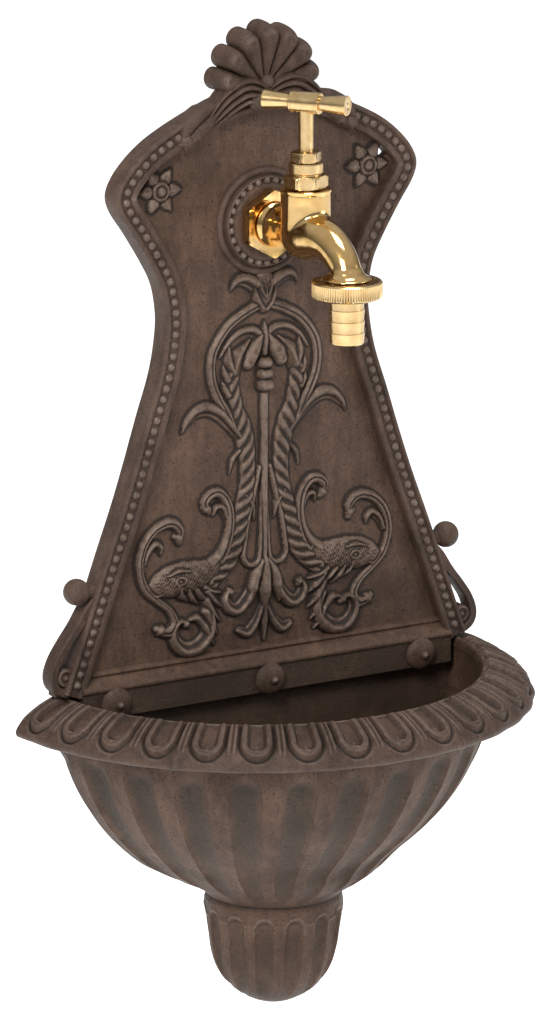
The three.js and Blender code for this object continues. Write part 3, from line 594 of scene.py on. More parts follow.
def dome(u, s):
    """Rounded section: (1 - |u|^2.4)^0.62."""
    return np.clip(1 - np.abs(u) ** 2.4, 0, 1) ** 0.62


def keel(u, s):
    """Leaf with a sharp midrib: (1 - |u|)^0.85."""
    return np.clip(1 - np.abs(u), 0, 1) ** 0.85


def pair(u, s):
    """Leaf folded once along its length: the rounded section less a narrow crease."""
    return dome(u, s) * (1 - 0.34 * hump(u, 0.15, 0.22))


def twist(u, s):
    """Leafy stem: the rounded section with ribs that slant across it every 9 mm."""
    return dome(u, s) * (0.84 + 0.18 * np.sin(2 * np.pi * (s / 9.0 + 0.62 * u)))


def scoop(u, s):
    """Curled leaf: the rounded section, high along its right side and sloping down to its left side."""
    return dome(u, s) * (0.45 + 0.55 * swell(u, -0.55, 0.3))


def scoop_left(u, s):
    """The curled leaf with its high side on the left."""
    return scoop(-u, s)


def scales(u, s):
    """Fish skin: the rounded section with faint scales in a brick pattern."""
    row = np.floor(s / 3.0)
    return dome(u, s) * (0.96 + 0.05 * np.cos(2 * np.pi * s / 3.0) * np.cos(np.pi * (6 * u + row)))


SIDE_STROKES = [
    (pair, [[65.4, 80.6], [64.3, 86.3], [68.5, 91.5], [75.7, 92.7], [84.5, 89.1], [91.4, 81.4], [94.9, 71.4],
            [94.5, 60.8], [90.4, 50.4], [82.4, 42.4], [73.5, 35.3], [69, 28.1], [69.6, 22.6], [74, 19.8],
            [79.5, 21.5]],
     [3, 6, 7, 7, 6.5, 6.5, 6, 5.5, 6, 5, 5, 6, 7.5, 8, 5], [3, 5, 5.2, 5, 5, 5, 5, 4.5, 4, 3.6, 3.6, 4, 4.5, 4]),
    (dome, [[64.6, 79], [65.6, 82], [68, 83]], [5, 7, 4], [3.5, 5.2, 3]),
    (scoop_left, [[78.8, 73.4], [79.4, 77], [83, 79], [88, 75], [91.5, 67]], [3, 5.5, 6.5, 5.5, 3],
     [2.5, 4, 4, 4, 3.5]),
    (dome, [[77.5, 19.5], [79.5, 21.8], [81.8, 23]], [5, 8.5, 5], [3.5, 5.2, 3]),
    (pair, [[44.7, 97.9], [45.8, 103.2], [41.6, 107.7], [35.5, 108.2], [30.2, 103.5], [27.1, 95.3], [26.8, 84.8],
            [29.1, 74.5], [33.7, 65.7], [41, 59]],
     [4, 6.5, 7, 7, 6.5, 7, 7, 8.5, 11, 14], [3.5, 5, 5.2, 5, 5, 5, 5, 5, 5.4, 5.6]),
    (dome, [[42.5, 96], [44.4, 98.5], [46.5, 100]], [4.5, 7, 4.5], [3.5, 5.4, 3]),
    (scoop, [[38.6, 93.9], [36.5, 98], [32, 96.5], [28.5, 88]], [3, 5.5, 6, 3], [2.5, 4.4, 4.4, 3.5]),
    (scales, [[36, 62], [42.5, 57.5], [51, 55], [62, 54.5], [73, 53.5], [82, 52], [87.5, 51]],
     [10, 17, 21, 23, 22, 16, 7], [5, 6, 7, 7.5, 7, 5.5, 3]),
    (dome, [[60, 60], [68, 60.8], [76, 58.5]], [2, 3.4, 1.6], [8.2, 8.7, 7.4]),
    (keel, [[76, 49], [81, 45.6], [86.5, 45.4]], [3, 3.4, 1.4], [6, 5.4, 3]),
    (keel, [[66, 48], [63.5, 43], [58, 38.5]], [8, 7, 1], [6.6, 6, 2.6]),
    (keel, [[60, 47.5], [56.5, 41], [50.5, 35.5]], [8.5, 7, 1], [6.8, 6, 2.6]),
    (keel, [[53.5, 46.5], [48.5, 40.5], [42, 35.5]], [8.5, 7, 1], [6.8, 6, 2.6]),
    (keel, [[47, 47], [40.5, 43], [33, 41]], [9, 7, 1], [6.4, 5.6, 2.6]),
    (keel, [[45, 44], [39, 36.5], [32, 31]], [9, 7, 1], [6.4, 5.6, 2.6]),
    (keel, [[45, 38], [40, 28.5], [33.5, 21.5]], [8.5, 7, 1], [6, 5.4, 2.6]),
    (keel, [[44.5, 30], [41, 21], [35.5, 13]], [8, 6.5, 1], [5.4, 5, 2.4]),
    (keel, [[45.5, 20], [42.5, 12.5], [38, 6.5]], [7.5, 6, 1], [5, 4.6, 2.4]),
    (scoop, [[42, 32], [42, 18.5], [46.5, 10.5], [54.2, 6], [62.4, 7], [68.2, 13.3], [68.8, 20.3], [65, 24.8],
             [59.6, 23.8]],
     [6, 10, 11.5, 11.5, 10.5, 9, 7.5, 6, 3.5], [4.5, 5.4, 5.6, 5.4, 5.2, 5, 4.8, 4.6, 3.4]),
    (dome, [[58.4, 22], [60.2, 23.6], [62, 25]], [3.5, 6, 3.5], [3.4, 5, 3.2]),
    (dome, [[47, 21.5], [52, 26.5], [57, 26]], [5, 5.5, 3], [3.6, 4.2, 3]),
    (twist, [[22.5, 163.5], [18, 151.1], [14.5, 139.5], [12.8, 126], [13, 112.6], [15.3, 99], [19.2, 85.6],
             [22.6, 72], [29.5, 59.9], [40, 50]],
     [10, 15, 14, 12, 12, 13, 13.5, 13.5, 13.5, 12], [3.5, 4.8, 4.8, 4.4, 4.2, 4.6, 5, 5.6, 6, 6]),
    (keel, [[15, 104], [9.5, 96], [7.5, 86]], [5, 6, 1.2], [4, 4.2, 2.4]),
    (keel, [[19, 134], [24.5, 128], [26.5, 119]], [4, 4.6, 1], [3.4, 3.2, 2]),
    (pair, [[1.5, 230], [9, 227.5], [17, 224], [26.6, 218.3], [34.2, 210], [39.2, 201], [40.7, 190.5], [39.2, 180],
            [35.4, 171], [29.5, 161.5], [22, 151]],
     [6.5, 7, 7, 7, 7, 7, 7, 7, 7, 7, 6], [3.6, 3.8, 3.8, 3.8, 3.8, 3.8, 3.8, 3.8, 3.8, 3.8, 3.4]),
    (dome, [[1, 208], [8, 213], [18, 212.5], [27, 206.5], [33.5, 197.5]], [4.5, 4.8, 4.2, 3.6, 1.6],
     [3, 3, 2.8, 2.6, 1.8]),
    (twist, [[23.6, 190], [25, 184], [24.2, 175], [22, 166], [19.5, 156]], [8, 11.5, 11, 10, 9],
     [3.6, 4.8, 5, 4.8, 4.2]),
    (keel, [[24, 187], [19.5, 197.5], [11, 206.5]], [13, 11, 1.6], [5.4, 5, 2.6]),
    (keel, [[24.5, 187], [27, 196], [26.6, 204]], [11, 8.5, 1.4], [5.2, 4.6, 2.4]),
    (dome, [[28, 182], [30, 186.5], [31, 191]], [5, 4.6, 1], [4.2, 4, 2]),
    (dome, [[27.5, 172], [30, 176.5], [31.6, 181]], [5, 4.4, 1], [4.2, 4, 2]),
    (scoop_left, [[17, 140], [26.7, 152], [34.3, 160], [42.7, 164.3], [51.5, 163.5], [58.3, 158], [62.5, 151]],
     [5, 7.5, 9.5, 10, 9, 6.5, 1.5], [4, 4.6, 4.8, 4.8, 4.4, 3.8, 2.5]),
    (scoop_left, [[24, 150], [29, 161], [33.5, 168.4], [39, 170.4]], [6, 6, 4.6, 1.2], [4, 4, 3.4, 2.4]),
    (dome, [[4, 121], [9.5, 99], [13, 86], [15.5, 70], [16.4, 62.5], [13.5, 57.5], [9.5, 56], [5.5, 58],
            [3.6, 63.5], [2.8, 80], [2.4, 104]],
     [3.4, 3.6, 3.6, 3.6, 3.6, 3.8, 3.8, 3.6, 3.2, 2.6, 1.6], [3.2, 3.4, 3.4, 3.4, 3.4, 3.6, 3.6, 3.4, 3, 2.4, 1.6]),
    (dome, [[2.5, 58], [6.8, 50], [9.4, 41], [11.5, 29.5]], [4, 8, 8.5, 1.6], [4.4, 5.8, 6, 2.8]),
    (scoop, [[4, 56], [9, 45], [13.5, 35], [20, 28.4], [26.5, 29.6], [29.5, 35.6], [27.4, 41]],
     [4.5, 6, 8.5, 9.5, 8.5, 7.4, 4], [4, 5, 5.4, 5.4, 5.2, 5, 3.6]),
    (dome, [[25.8, 38.5], [26.4, 40.6], [27.6, 42]], [3.5, 5.4, 3.2], [3.4, 5, 3]),
    (scoop, [[2.5, 27], [7.4, 17.6], [13.4, 11.6], [19.4, 13.6]], [4, 6, 8.4, 4.6], [3.5, 4.4, 5, 3.6]),
    (scoop_left, [[1.5, 238.5], [7, 242.5], [13, 246], [18.5, 247], [22.5, 245], [25.2, 241]],
     [10, 10.5, 9.5, 8, 5.5, 1], [4.4, 5.4, 5.4, 5, 4.4, 2.4]),
    (keel, [[1.2, 226], [5.4, 232], [8, 240]], [6, 8, 2], [5.2, 6.2, 4.4]),
    (keel, [[0.8, 234], [3.6, 240], [4.4, 247]], [4, 6, 2], [5.6, 6.4, 4.6]),
    (dome, [[2.6, 209], [6, 203], [10, 197], [12.6, 191.5]], [2.6, 8, 11, 9.4], [3.6, 5.2, 6.4, 5.4]),
]

MIDDLE_STROKES = [
    (dome, [[0, 243], [0, 238], [0, 232], [0, 227.5]], [17, 14, 12, 5], [4, 4.8, 4.6, 3]),
    (keel, [[0, 241], [0, 235], [0, 229]], [3, 5.5, 2], [5.6, 6.4, 4.4]),
    (keel, [[0, 217], [0, 211], [0, 204], [0, 196]], [2, 7.6, 8.4, 3], [3.6, 5.2, 5.8, 4.8]),
    (dome, [[-1.2, 190.2], [1.2, 190.2]], [8.2, 8.2], [7.2, 7.2]),
    (dome, [[-1.8, 183.2], [1.8, 183.2]], [8, 8], [6.8, 6.8]),
    (dome, [[-1.6, 175.6], [1.6, 175.6]], [9.2, 9.2], [7.8, 7.8]),
    (dome, [[0, 172.5], [0, 140], [0, 110], [0, 58]], [6.4, 6.2, 5.8, 4.4], [3.4, 3.4, 3.4, 3.4]),
    (dome, [[0, 60], [0, 50], [0, 38], [0, 25]], [4, 8.6, 9.4, 2], [4.8, 6.6, 7, 3]),
    (keel, [[0, 31], [0, 18], [0, 4]], [5, 7.4, 1], [4.4, 4.8, 2.6]),
]


def raise_stroke(height, x, z, stroke):
    """Raises the height where a stroke passes: at each place the stroke's section over the distance to its line,
    as a share of the half width there, times the stroke's height there."""
    section, points, widths, heights = stroke
    dense = smooth_line(points, 24)
    share = np.linspace(0, 1, len(dense))
    dense = evenly(np.column_stack([dense, share]), 0.4)
    line = dense[:, :2] + np.array([0, LEDGE_TOP])
    half, tall = along(widths, dense[:, 2]) / 2, along(heights, dense[:, 2])
    run, side = run_along(dense), sideways(line)
    reach = half.max() + 0.3
    low, high = line.min(0) - reach, line.max(0) + reach
    near = np.nonzero((x > low[0]) & (x < high[0]) & (z > low[1]) & (z < high[1]))
    place = np.column_stack([x[near], z[near]])
    rise = np.zeros(len(place))
    for part in np.array_split(np.arange(len(place)), len(place) // 6000 + 1):
        away = place[part, None] - line[None]
        k = np.argmin((away**2).sum(2), 1)
        step = away[np.arange(len(part)), k]
        distance = np.linalg.norm(step, axis=1)
        u = distance / half[k] * np.sign((step * side[k]).sum(1) + 1e-9)
        rise[part] = np.where(np.abs(u) < 1, section(u, run[k]) * tall[k], 0)
    height[near] = np.maximum(height[near], rise)


def rosette_height(x, z):
    """Six creased petals round a ringed button. A petal is as wide as its sixth of the circle up to its middle and
    then narrows to a point; it rises steeply at its edge and then gently to its crease."""
    out, up = np.abs(x) - ROSETTE_OUT, z - ROSETTE_LEVEL
    radius, turn = np.hypot(out, up) / ROSETTE_RADIUS, np.arctan2(up, out)
    cell = (turn + np.pi / 6) % (np.pi / 3) - np.pi / 6
    place, across = radius * np.cos(cell), np.abs(radius * np.sin(cell))
    narrowed = 0.285 * np.clip(1 - (np.clip(place - 0.52, 0, 1) / 0.48) ** 1.7, 0, 1)
    half = np.minimum(place * 0.56, narrowed) + 0.001
    fold = np.clip(1 - across / half, 0, 1)
    petal = np.where(place < 1, 1.7 * swell(fold, 0, 0.16) + 2.2 * fold, 0)
    button = 3.9 * swell(0.42 - radius, 0, 0.04) + 0.8 * hump(radius, 0.34, 0.035) - 0.5 * hump(radius, 0.24, 0.05) \
        + 0.8 * hump(radius, 0, 0.12)
    return np.where(radius < 0.42, np.maximum(button, 0.9), petal)


def eye_height(x, z):
    """The fish's eye: an almond ring round a small pupil."""
    out, up = np.abs(x) - 66.7, z - LEDGE_TOP - 54.0
    ring = np.hypot(out / 1.5, up) / 2.4
    return 0.9 * hump(ring, 1.0, 0.24) - 0.5 * hump(ring, 0.55, 0.2) + 0.9 * hump(ring, 0, 0.3)


def field_height(x, z):
    """How far the carving stands out of the field: the highest of all strokes, the rosettes and the fish's eyes,
    with faint unevenness from sums of slow waves."""
    height = np.zeros_like(x)
    for stroke in SIDE_STROKES + MIDDLE_STROKES:
        raise_stroke(height, x, z, stroke)
    height = np.where(height > 4, height + eye_height(x, z), height)
    height = np.maximum(height, rosette_height(x, z))
    uneven = np.sin(0.31 * x + 0.17 * z) * np.sin(0.23 * z - 0.11 * x) + np.sin(0.71 * x - 0.5 * z + 1)
    return height * (1 + 0.03 * uneven)


def evened(grid):
    """A grid's values evened out with those of their four neighbours."""
    padded = np.pad(grid, 1, mode="edge")
    return (4 * grid + padded[:-2, 1:-1] + padded[2:, 1:-1] + padded[1:-1, :-2] + padded[1:-1, 2:]) / 8


def field_slab(name, low, high, row_gap, column_gap):
    """The field between two levels, with its carving. Rows run from edge to edge under the border, and every
    place stands at the field's front plus the carving's height there. More rows on both sides are worked out and
    left off again, so that slabs meet without a seam. The attribute for rubbing and painted shade is the height
    less its evened height: low in hollows, which get painted shade, and high on ridges. Each end is a flat cut: its
    outer ring is the last row laid back to a straight line."""
    edge = inner_edge(BORDER_WIDTH - 1.2)
    step = (high - low) / int((high - low) / row_gap)
    levels = np.arange(-SPARE_ROWS, int(round((high - low) / step)) + SPARE_ROWS + 1) * step + low
    half_width = np.interp(levels, edge[:, 1], edge[:, 0])
    share = np.linspace(0, 1, int(half_width.max() / column_gap) + 1)
    x, z = half_width[:, None] * share, levels[:, None] + 0 * share
    height = field_height(x, z)
    x, height = np.hstack([-x[:, :0:-1], x]), np.hstack([height[:, :0:-1], height])
    height = evened(height)
    kept = slice(SPARE_ROWS, -SPARE_ROWS)
    broad = height
    for _ in range(6):
        broad = evened(broad)
    # Low in hollows, for painted shade; high on ridges, for rubbing and a painted sheen.
    wear_and_shade = np.clip(0.5 + 2.0 * (height - broad) / (row_gap * column_gap), 0, 1)[kept]
    front = np.stack([x, -(FIELD_FRONT + height), levels[:, None] + 0 * x], -1)[kept]
    back = front[:, [-1, 0]].copy()
    back[..., 1] = -FIELD_BACK
    rings = np.concatenate([front, back], 1)
    flat = rings[[0, -1]].copy()
    flat[:, :-2, 1] = -(FIELD_BACK + 0.4)
    rings = np.concatenate([flat[:1], rings, flat[1:]])
    around = rings.shape[1]
    last = (len(rings) - 2) * around
    mesh = mesh_of(name, skin(rings), 75, np.r_[0:2 * around, last:last + 2 * around])
    wear_and_shade = np.vstack([wear_and_shade[:1], wear_and_shade, wear_and_shade[-1:]])
    note(mesh, "wear_and_shade", np.concatenate([np.hstack([wear_and_shade, np.full((len(wear_and_shade), 2), 0.5)]).ravel(), [0.5, 0.5]]))
    return mesh


def drilled(mesh, holes, radius):
    """The piece with round holes from front to back, cut by a Boolean and then kept as a plain mesh. The cut
    leaves no value of the attribute for rubbing and painted shade on its flat back, so the value of flat iron,
    which gives no painted shade, is written there again."""
    bit = [(0, -4), (radius, -4), (radius, 30), (0, 30)]
    bits = all_of(*(turned(bit, 32, hole, upright=False) for hole in holes))
    thing, drill = to_scene(mesh.name, mesh), to_scene("drill", mesh_of("drill", bits))
    cut = thing.modifiers.new("holes", "BOOLEAN")
    cut.operation, cut.object, cut.solver = "DIFFERENCE", drill, "EXACT"
    plain = bpy.data.meshes.new_from_object(thing.evaluated_get(bpy.context.evaluated_depsgraph_get()))
    for each in (thing, drill):
        bpy.data.objects.remove(each)
    plain.materials.clear()
    plain.set_sharp_from_angle(angle=math.radians(75))
    shade_and_wear = plain.attributes["wear_and_shade"].data
    wear_and_shade = np.zeros(len(plain.vertices), np.float32)
    shade_and_wear.foreach_get("value", wear_and_shade)
    behind = read_points(plain)[:, 1] > -(FIELD_BACK + 0.2) * MM
    shade_and_wear.foreach_set("value", np.where(behind, 0.5, wear_and_shade).astype(np.float32))
    return plain


def ring_boss():
    """The boss: a turned profile of a low moulding, a step and a ring, with beads between."""
    r = BOSS_RADIUS
    profile = [(0, FIELD_BACK + 1), *moved(
        [(0, FIELD_BACK + 1), (0, 9.2), (-0.5, 10.4), (-1.5, 11.2), (-2.8, 11.4), (-4.0, 10.8), (-4.8, 10.2),
         (-5.3, 10.4), (-5.6, 12.2), (-6.0, 13.4), (-6.6, 13.9), (-7.2, 13.6), (-7.8, 12.7), (-9.6, 12.7),
         (-10.1, 13.8), (-10.8, 14.8), (-11.8, BOSS_FRONT), (-13.6, BOSS_FRONT)], r), (0, BOSS_FRONT)]
    ring = rings_at(r - 8.6, round_turn(BOSS_BEADS), np.full(BOSS_BEADS, 12.9), (0, BOSS_LEVEL), upright=False)
    return all_of(turned(profile, 128, (0, BOSS_LEVEL), upright=False), balls(ring, 2.3))


def ledge_and_strip():
    """The moulded ledge and the flat strip under it that is bolted to the basin."""
    behind = BACK_WALL + 0.3
    moulding = moved([(0, 1.4), (1.6, 0.9), (2.7, -0.1), (3.1, -1.2), (2.5, -2.2), (2.2, -2.9), (3.2, -3.6),
                      (5.2, -5.4), (7.4, -7.4), (9.0, -8.8), (9.3, -9.9), (9.0, -11)], FIELD_FRONT, LEDGE_TOP)
    profile = [(behind, PLATE_FOOT - 18), (behind, PLATE_FOOT), (0, PLATE_FOOT), (0, LEDGE_TOP + 1.5), *moulding,
               (BORDER_DEPTH, LEDGE_TOP - 11.8), (BORDER_DEPTH, PLATE_FOOT - 17),
               (BORDER_DEPTH - 0.9, PLATE_FOOT - 18)]
    return bar(profile, -LEDGE_HALF, LEDGE_HALF, (11.0, PLATE_FOOT + 2))


def shell_crest():
    """The shell: plump lobes that fan out of the hub. Across a lobe the depth and the reach fall towards its
    edges with a rounded section, and along it the depth swells and then rolls over the tip to the wall."""
    place = np.linspace(-0.5, SHELL_LOBES - 0.5, SHELL_LOBES * 24 + 1)
    t = 2 * (place - np.round(place))
    angle = (place - (SHELL_LOBES - 1) / 2) * LOBE_ANGLE
    end = np.abs(angle) / angle.max()
    round_off = np.clip(1 - np.abs(t) ** 2.2, 0, 1)
    tip = SHELL_RADIUS * (0.80 + 0.20 * np.clip(1 - t**2, 0, 1) ** 0.5) * (1 - 0.08 * end**2)
    q = np.concatenate([np.linspace(0.04, 0.86, 30), 0.86 + 0.14 * np.sin(np.linspace(0.08, 1, 16) * np.pi / 2)])
    roll = np.clip(1 - (np.clip(q - 0.80, 0, 1) / 0.20) ** 2.6, 0, 1) ** 0.5
    crown = np.interp(q, [0.04, 0.25, 0.5, 0.75, 0.9, 1], [0.66, 0.72, 0.88, 1.04, 1.08, 1.06])
    groove = np.interp(q, [0.04, 0.3, 0.7, 0.9, 1], [0.80, 0.70, 0.62, 0.60, 0.60])
    dent = 0.05 * hump(q[None], 0.80, 0.035) * hump(t[:, None], 0.1, 0.26)
    depth = SHELL_FRONT * (crown * roll) * (groove + (1 - groove) * round_off[:, None] ** 0.5)
    depth = np.maximum(depth - SHELL_FRONT * dent, 0.3)
    out = tip[:, None] * q
    front = np.stack([out * np.sin(angle)[:, None], -depth, SHELL_HUB + out * np.cos(angle)[:, None]], -1)
    inner = front[:, :1] * np.array([1, 0, 1])
    outer = front[:, -1:] * np.array([1, 0, 1])
    return skin(np.concatenate([inner, front, outer], 1))


def ridged_leaf(points, widths, fronts, ridges, lift):
    """A leaf along a line, with rounded ridges that run with it and sharp creases between them. Across it the
    front falls towards both edges, and the back lies inside the border."""
    line = evenly(smooth_line(points), 0.8)
    share = np.linspace(0, 1, len(line))
    half, front = along(widths, share) / 2, along(fronts, share)
    side = sideways(line)
    across = np.linspace(-1, 1, 61)
    ridge = np.abs(np.sin(np.pi * ridges * (across + 1) / 2))[None] ** 0.75
    depth = front[:, None] - lift * np.minimum(1, half / 6)[:, None] * (1 - ridge) - 4.0 * across[None] ** 6
    x = line[:, None, 0] + side[:, None, 0] * across * half[:, None]
    z = line[:, None, 1] + side[:, None, 1] * across * half[:, None]
    top = np.stack([x, -depth, z], -1)
    back = top[:, [-1, 0]].copy()
    back[..., 1] = -(FIELD_FRONT - 2)
    return skin(np.concatenate([top, back], 1))


def crest_leaves():
    """On each side a ridged leaf that curls off the hub and drops to the border, a smaller one under its end, the
    ball of the curl and the hub's bud."""
    top = PLATE_FOOT + PLATE_HEIGHT
    first = ridged_leaf(moved([(3.5, 3.0), (12, 6.0), (20, 6.0), (30, 0.8), (38, -6.2), (45.5, -14.2)], 0, top),
                        [13, 18.5, 19.5, 17.5, 13.5, 6], [17.6, 20.2, 20.6, 19.8, 18.6, 16.6], 4, 3.6)
    second = ridged_leaf(moved([(37, -1.5), (48, -8.5), (57.5, -15.5), (65, -25)], 0, top),
                         [8, 18.5, 20, 9], [16.6, 18.6, 19.2, 17.2], 2, 2.8)
    curl = balls([(8.6, -15.6, top - 1.6)], 6.4, 28, 16)
    eye = balls([(8.4, -20.8, top - 1.4)], 2.0, 14, 8)
    bud = balls([(62.5, -15.4, top - 21.5)], 4.6, 20, 12)
    knob = balls([(0, -13.6, SHELL_HUB + 4.5)], 4.4, 28, 16)
    return all_of(both(all_of(first, second, curl, eye, bud)), knob)


def side_volute():
    """The right volute: a ball beside the border, a rounded strap that swings out and back, and its eye. The
    strap's section is a rounded box with a shallow groove, carried along the line."""
    path = np.array([(-16, -5), (-8, -11), (0, -22), (8.5, -32.5), (16, -43.5), (19.5, -53.5), (17.5, -61.5),
                     (9, -67)]) + np.array([BALL_OUT, BALL_LEVEL])
    line = evenly(smooth_line(path), 1.2)
    share = np.linspace(0, 1, len(line))
    half = 2.8 * along([1.5, 1.3, 1, 1, 1, 0.9], share)
    turn = round_turn(28)
    across = np.sign(np.cos(turn)) * np.abs(np.cos(turn)) ** 0.45
    depth = 7.6 + 6.4 * np.sign(np.sin(turn)) * np.abs(np.sin(turn)) ** 0.45
    depth = depth - np.where(np.sin(turn) > 0.5, 0.8 * hump(across, 0, 0.5), 0)
    side = sideways(line)
    x = line[:, None, 0] + side[:, None, 0] * across * half[:, None]
    z = np.maximum(line[:, None, 1] + side[:, None, 1] * across * half[:, None], PLATE_FOOT + 0.2)
    strap = skin(np.stack([x, -depth + 0 * x, z], -1))
    ball = balls([(BALL_OUT, -BALL_RADIUS, BALL_LEVEL)], BALL_RADIUS, 40, 24)
    neck = turned([(0, BALL_OUT - 17), (5.2, BALL_OUT - 17), (4.2, BALL_OUT - 11), (4.6, BALL_OUT - 6),
                   (5.6, BALL_OUT - 3), (0, BALL_OUT - 2)], 28)
    neck = neck[0][:, [2, 1, 0]] * np.array([1, 1, -1]) + np.array([0, -BALL_RADIUS, BALL_LEVEL - 1]), *neck[1:]
    eye_level = BALL_LEVEL - 55
    eye = turned([(0, 1.2), (6.2, 1.2), (6.2, 11.4), (5.6, 12.8), (4.4, 13.4), (3.2, 12.6), (2.4, 12.6),
                  (1.2, 13.8), (0, 14.2)], 36, (BALL_OUT + 10.5, eye_level), upright=False)
    web = bar([(1.4, PLATE_FOOT + 0.4), (10, PLATE_FOOT + 0.4), (10, eye_level), (1.4, eye_level)],
              BALL_OUT + 1, BALL_OUT + 17)
    curl = balls([(BALL_OUT + 3.2, -10.5, PLATE_FOOT + 3.8)], 3.4, 18, 12)
    return all_of(strap, ball, outward(*neck), eye, web, curl)


# Basin

BOWL_ROWS = [  # radius, level and how far the round's middle stands off the wall
    (BOWL_RADIUS, 15, 0), (BOWL_RADIUS + 1.6, -16.3, 0), (146.2, -34.3, 0), (134.8, -56.6, 0), (118.6, -78, 0),
    (96.0, -98.8, 1.0), (75.2, -111.3, 12.8), (57.4, -120, 20.6), (47.5, -126.5, 20.6), (44.6, -129.5, 20.6),
]
PENDANT_ROWS = [
    (45.0, -131, 20.6), (45.6, -133.5, 20.6), (45.4, -139, 20.6), (44.9, -144.5, 20.6), (44.2, -149, 20.6),
    (43.0, -157, 20.6), (41.6, -167, 20.6), (38.9, -177, 20.6), (34.6, -186, 20.6), (28.4, -193.6, 20.6),
    (20.5, -199.6, 20.6), (11.5, -203.8, 20.6), (4, -205.2, 20.6),
]


def round_rows(rows, per_span):
    """The rows of a profile, smoothed, with no row further forward or back than its neighbours allow."""
    line = smooth_line(rows, per_span)
    line[:, 2] = np.clip(line[:, 2], 0, PENDANT_FORWARD)
    return line


def wall_rounds(rows, arc, flat, wall, change=None):
    """Closed rings at the rows' levels: an arc round the front, to where it meets the plane of the wall, and a
    straight line back along that plane. change(angle, limit, level) is added to the radius."""
    radius, level, forward = (rows[:, k][:, None] for k in range(3))
    limit = np.arccos(np.clip((wall - forward) / radius, -1, 1))
    share = np.linspace(-1, 1, arc)[None]
    angle = share * limit
    r = radius + (change(angle, limit, level) if change is not None else 0)
    x = r * np.sin(angle)
    y = np.minimum(-forward - r * np.cos(angle), -wall)
    back = np.linspace(1, 0, flat + 2)[1:-1][None]
    xb = x[:, :1] + (x[:, -1:] - x[:, :1]) * back
    x = np.hstack([x, xb])
    y = np.hstack([y, y[:, :1] + 0 * xb])
    return np.stack([x, y, level + 0 * x], -1)


def fluting(angle, limit, repeats, rib):
    """Across one repeat: the hollow, 0 on the flat of its rib and 1 in the middle of its flute, with a half
    circle between them; the thin fillet along each side of the rib; and the way into the flute, from 0 to 1."""
    t = np.abs(2 * ((angle / limit + 1) / 2 * repeats % 1) - 1)
    trough = np.clip((t - rib) / (1 - rib), 0, 1)
    return np.sqrt(np.clip(1 - (1 - trough) ** 2, 0, 1)), hump(t, rib - 0.07, 0.06), trough


def bowl_change(angle, limit, level):
    """Flutes that start with a rounded end below the rim and run out at the neck, between ribs with two fillets."""
    hollow, fillet, trough = fluting(angle, limit, RIBS, RIB_SHARE)
    arch = -15.0 - 8.0 * (1 - np.sqrt(np.clip(1 - (1 - trough) ** 2, 0, 1)))
    started = swell(arch - level, 0, 11.0) * swell(level, -128, -112)
    return started * (-FLUTE_DEPTH * hollow + 0.6 * fillet - 0.25)


def pendant_change(angle, limit, level):
    """A plain collar above, then flutes with scalloped tops that narrow to the bottom."""
    hollow, fillet, trough = fluting(angle, limit, PENDANT_RIBS, RIB_SHARE)
    arch = -138.5 - 5.5 * (1 - np.sqrt(np.clip(1 - (1 - trough) ** 2, 0, 1)))
    started = swell(arch - level, 0, 2.5) * swell(level, -205, -184)
    scallop = 0.7 * hump(level, arch + 1.4, 1.3)
    return started * (-0.75 * FLUTE_DEPTH * hollow + 0.5 * fillet) + scallop


def bowl_and_pendant():
    """The hollow bowl: rings up the outside from the bottom of the pendant to the rim, and down the inside."""
    arc, flat = RIBS * 22 + 1, 24
    bowl = round_rows(BOWL_ROWS, 9)
    pendant = round_rows(PENDANT_ROWS, 5)
    outside = np.vstack([wall_rounds(pendant[::-1], arc, flat, 0.0, pendant_change),
                         wall_rounds(bowl[::-1], arc, flat, 0.0, bowl_change)])
    inner_bowl = bowl.copy()
    inner_bowl[:, 0] -= np.interp(bowl[:, 1], [-16.3, 15.0], [CAST_WALL, 1.0])
    well = pendant[pendant[:, 0] > 12] - np.array([CAST_WALL, -1.5, 0])
    inside = wall_rounds(np.vstack([inner_bowl, well]), arc, flat, BACK_WALL)
    rings = np.vstack([outside, inside])
    ends = (0, -PENDANT_FORWARD, PENDANT_ROWS[-1][1] - 0.3), (0, -PENDANT_FORWARD, rings[-1, 0, 2])
    return skin(rings, ends)


RIM_SECTION = [  # radius and level, from the inner foot over the crest and the slope to the lip and back under it
    (146.6, 12), (147.2, 15.6), (148.2, 18.0), (149.6, 19.0), (151.4, 19.2), (154, 18.7), (159, 17.0),
    (164.6, 14.6), (170, 11.7), (175, 8.4), (179, 4.9), (181.6, 1.5), (182.4, -1.0), (181.7, -3.2),
    (179.6, -4.5), (176.5, -3.6), (171, -0.4), (163, 4.0), (155, 7.6), (149, 9.6),
]


def rim_relief(angle, radius):
    """The row of eggs on the rim's slope. Each is a raised U, open towards the bowl, round a spoon-like hollow, with
    a groove round it and a grooved bar between two of them. The U is where the distance to a short line lies
    between two set values."""
    half_cell = np.pi / 2 / EGGS * 167.0
    across = (2 * ((angle / np.pi + 0.5) * EGGS % 1) - 1) * half_cell
    down = radius - CREST_RADIUS
    away = np.hypot(across, np.maximum(down - 19.2, 0))
    ring = 1.6 * swell(10.2 - away, 0, 1.3) - 3.9 * swell(7.0 - away, 0, 2.6)
    groove = -1.9 * hump(away, 11.3, 0.95)
    bar = 1.3 * swell(3.0 - (half_cell - np.abs(across)), 0, 1.1) - 0.8 * hump(np.abs(across), half_cell, 0.7)
    bar = bar * swell(away, 11.6, 12.6) * (1 - swell(down, 26, 30))
    nick = 1.0 * hump(across, 0, 1.6) * swell(down, 16, 22) * (1 - swell(down, 25, 27))
    on_slope = swell(down, -0.8, 2.4) * (1 - swell(down, 30.4, 32.0))
    return on_slope * (ring + groove + bar + nick)


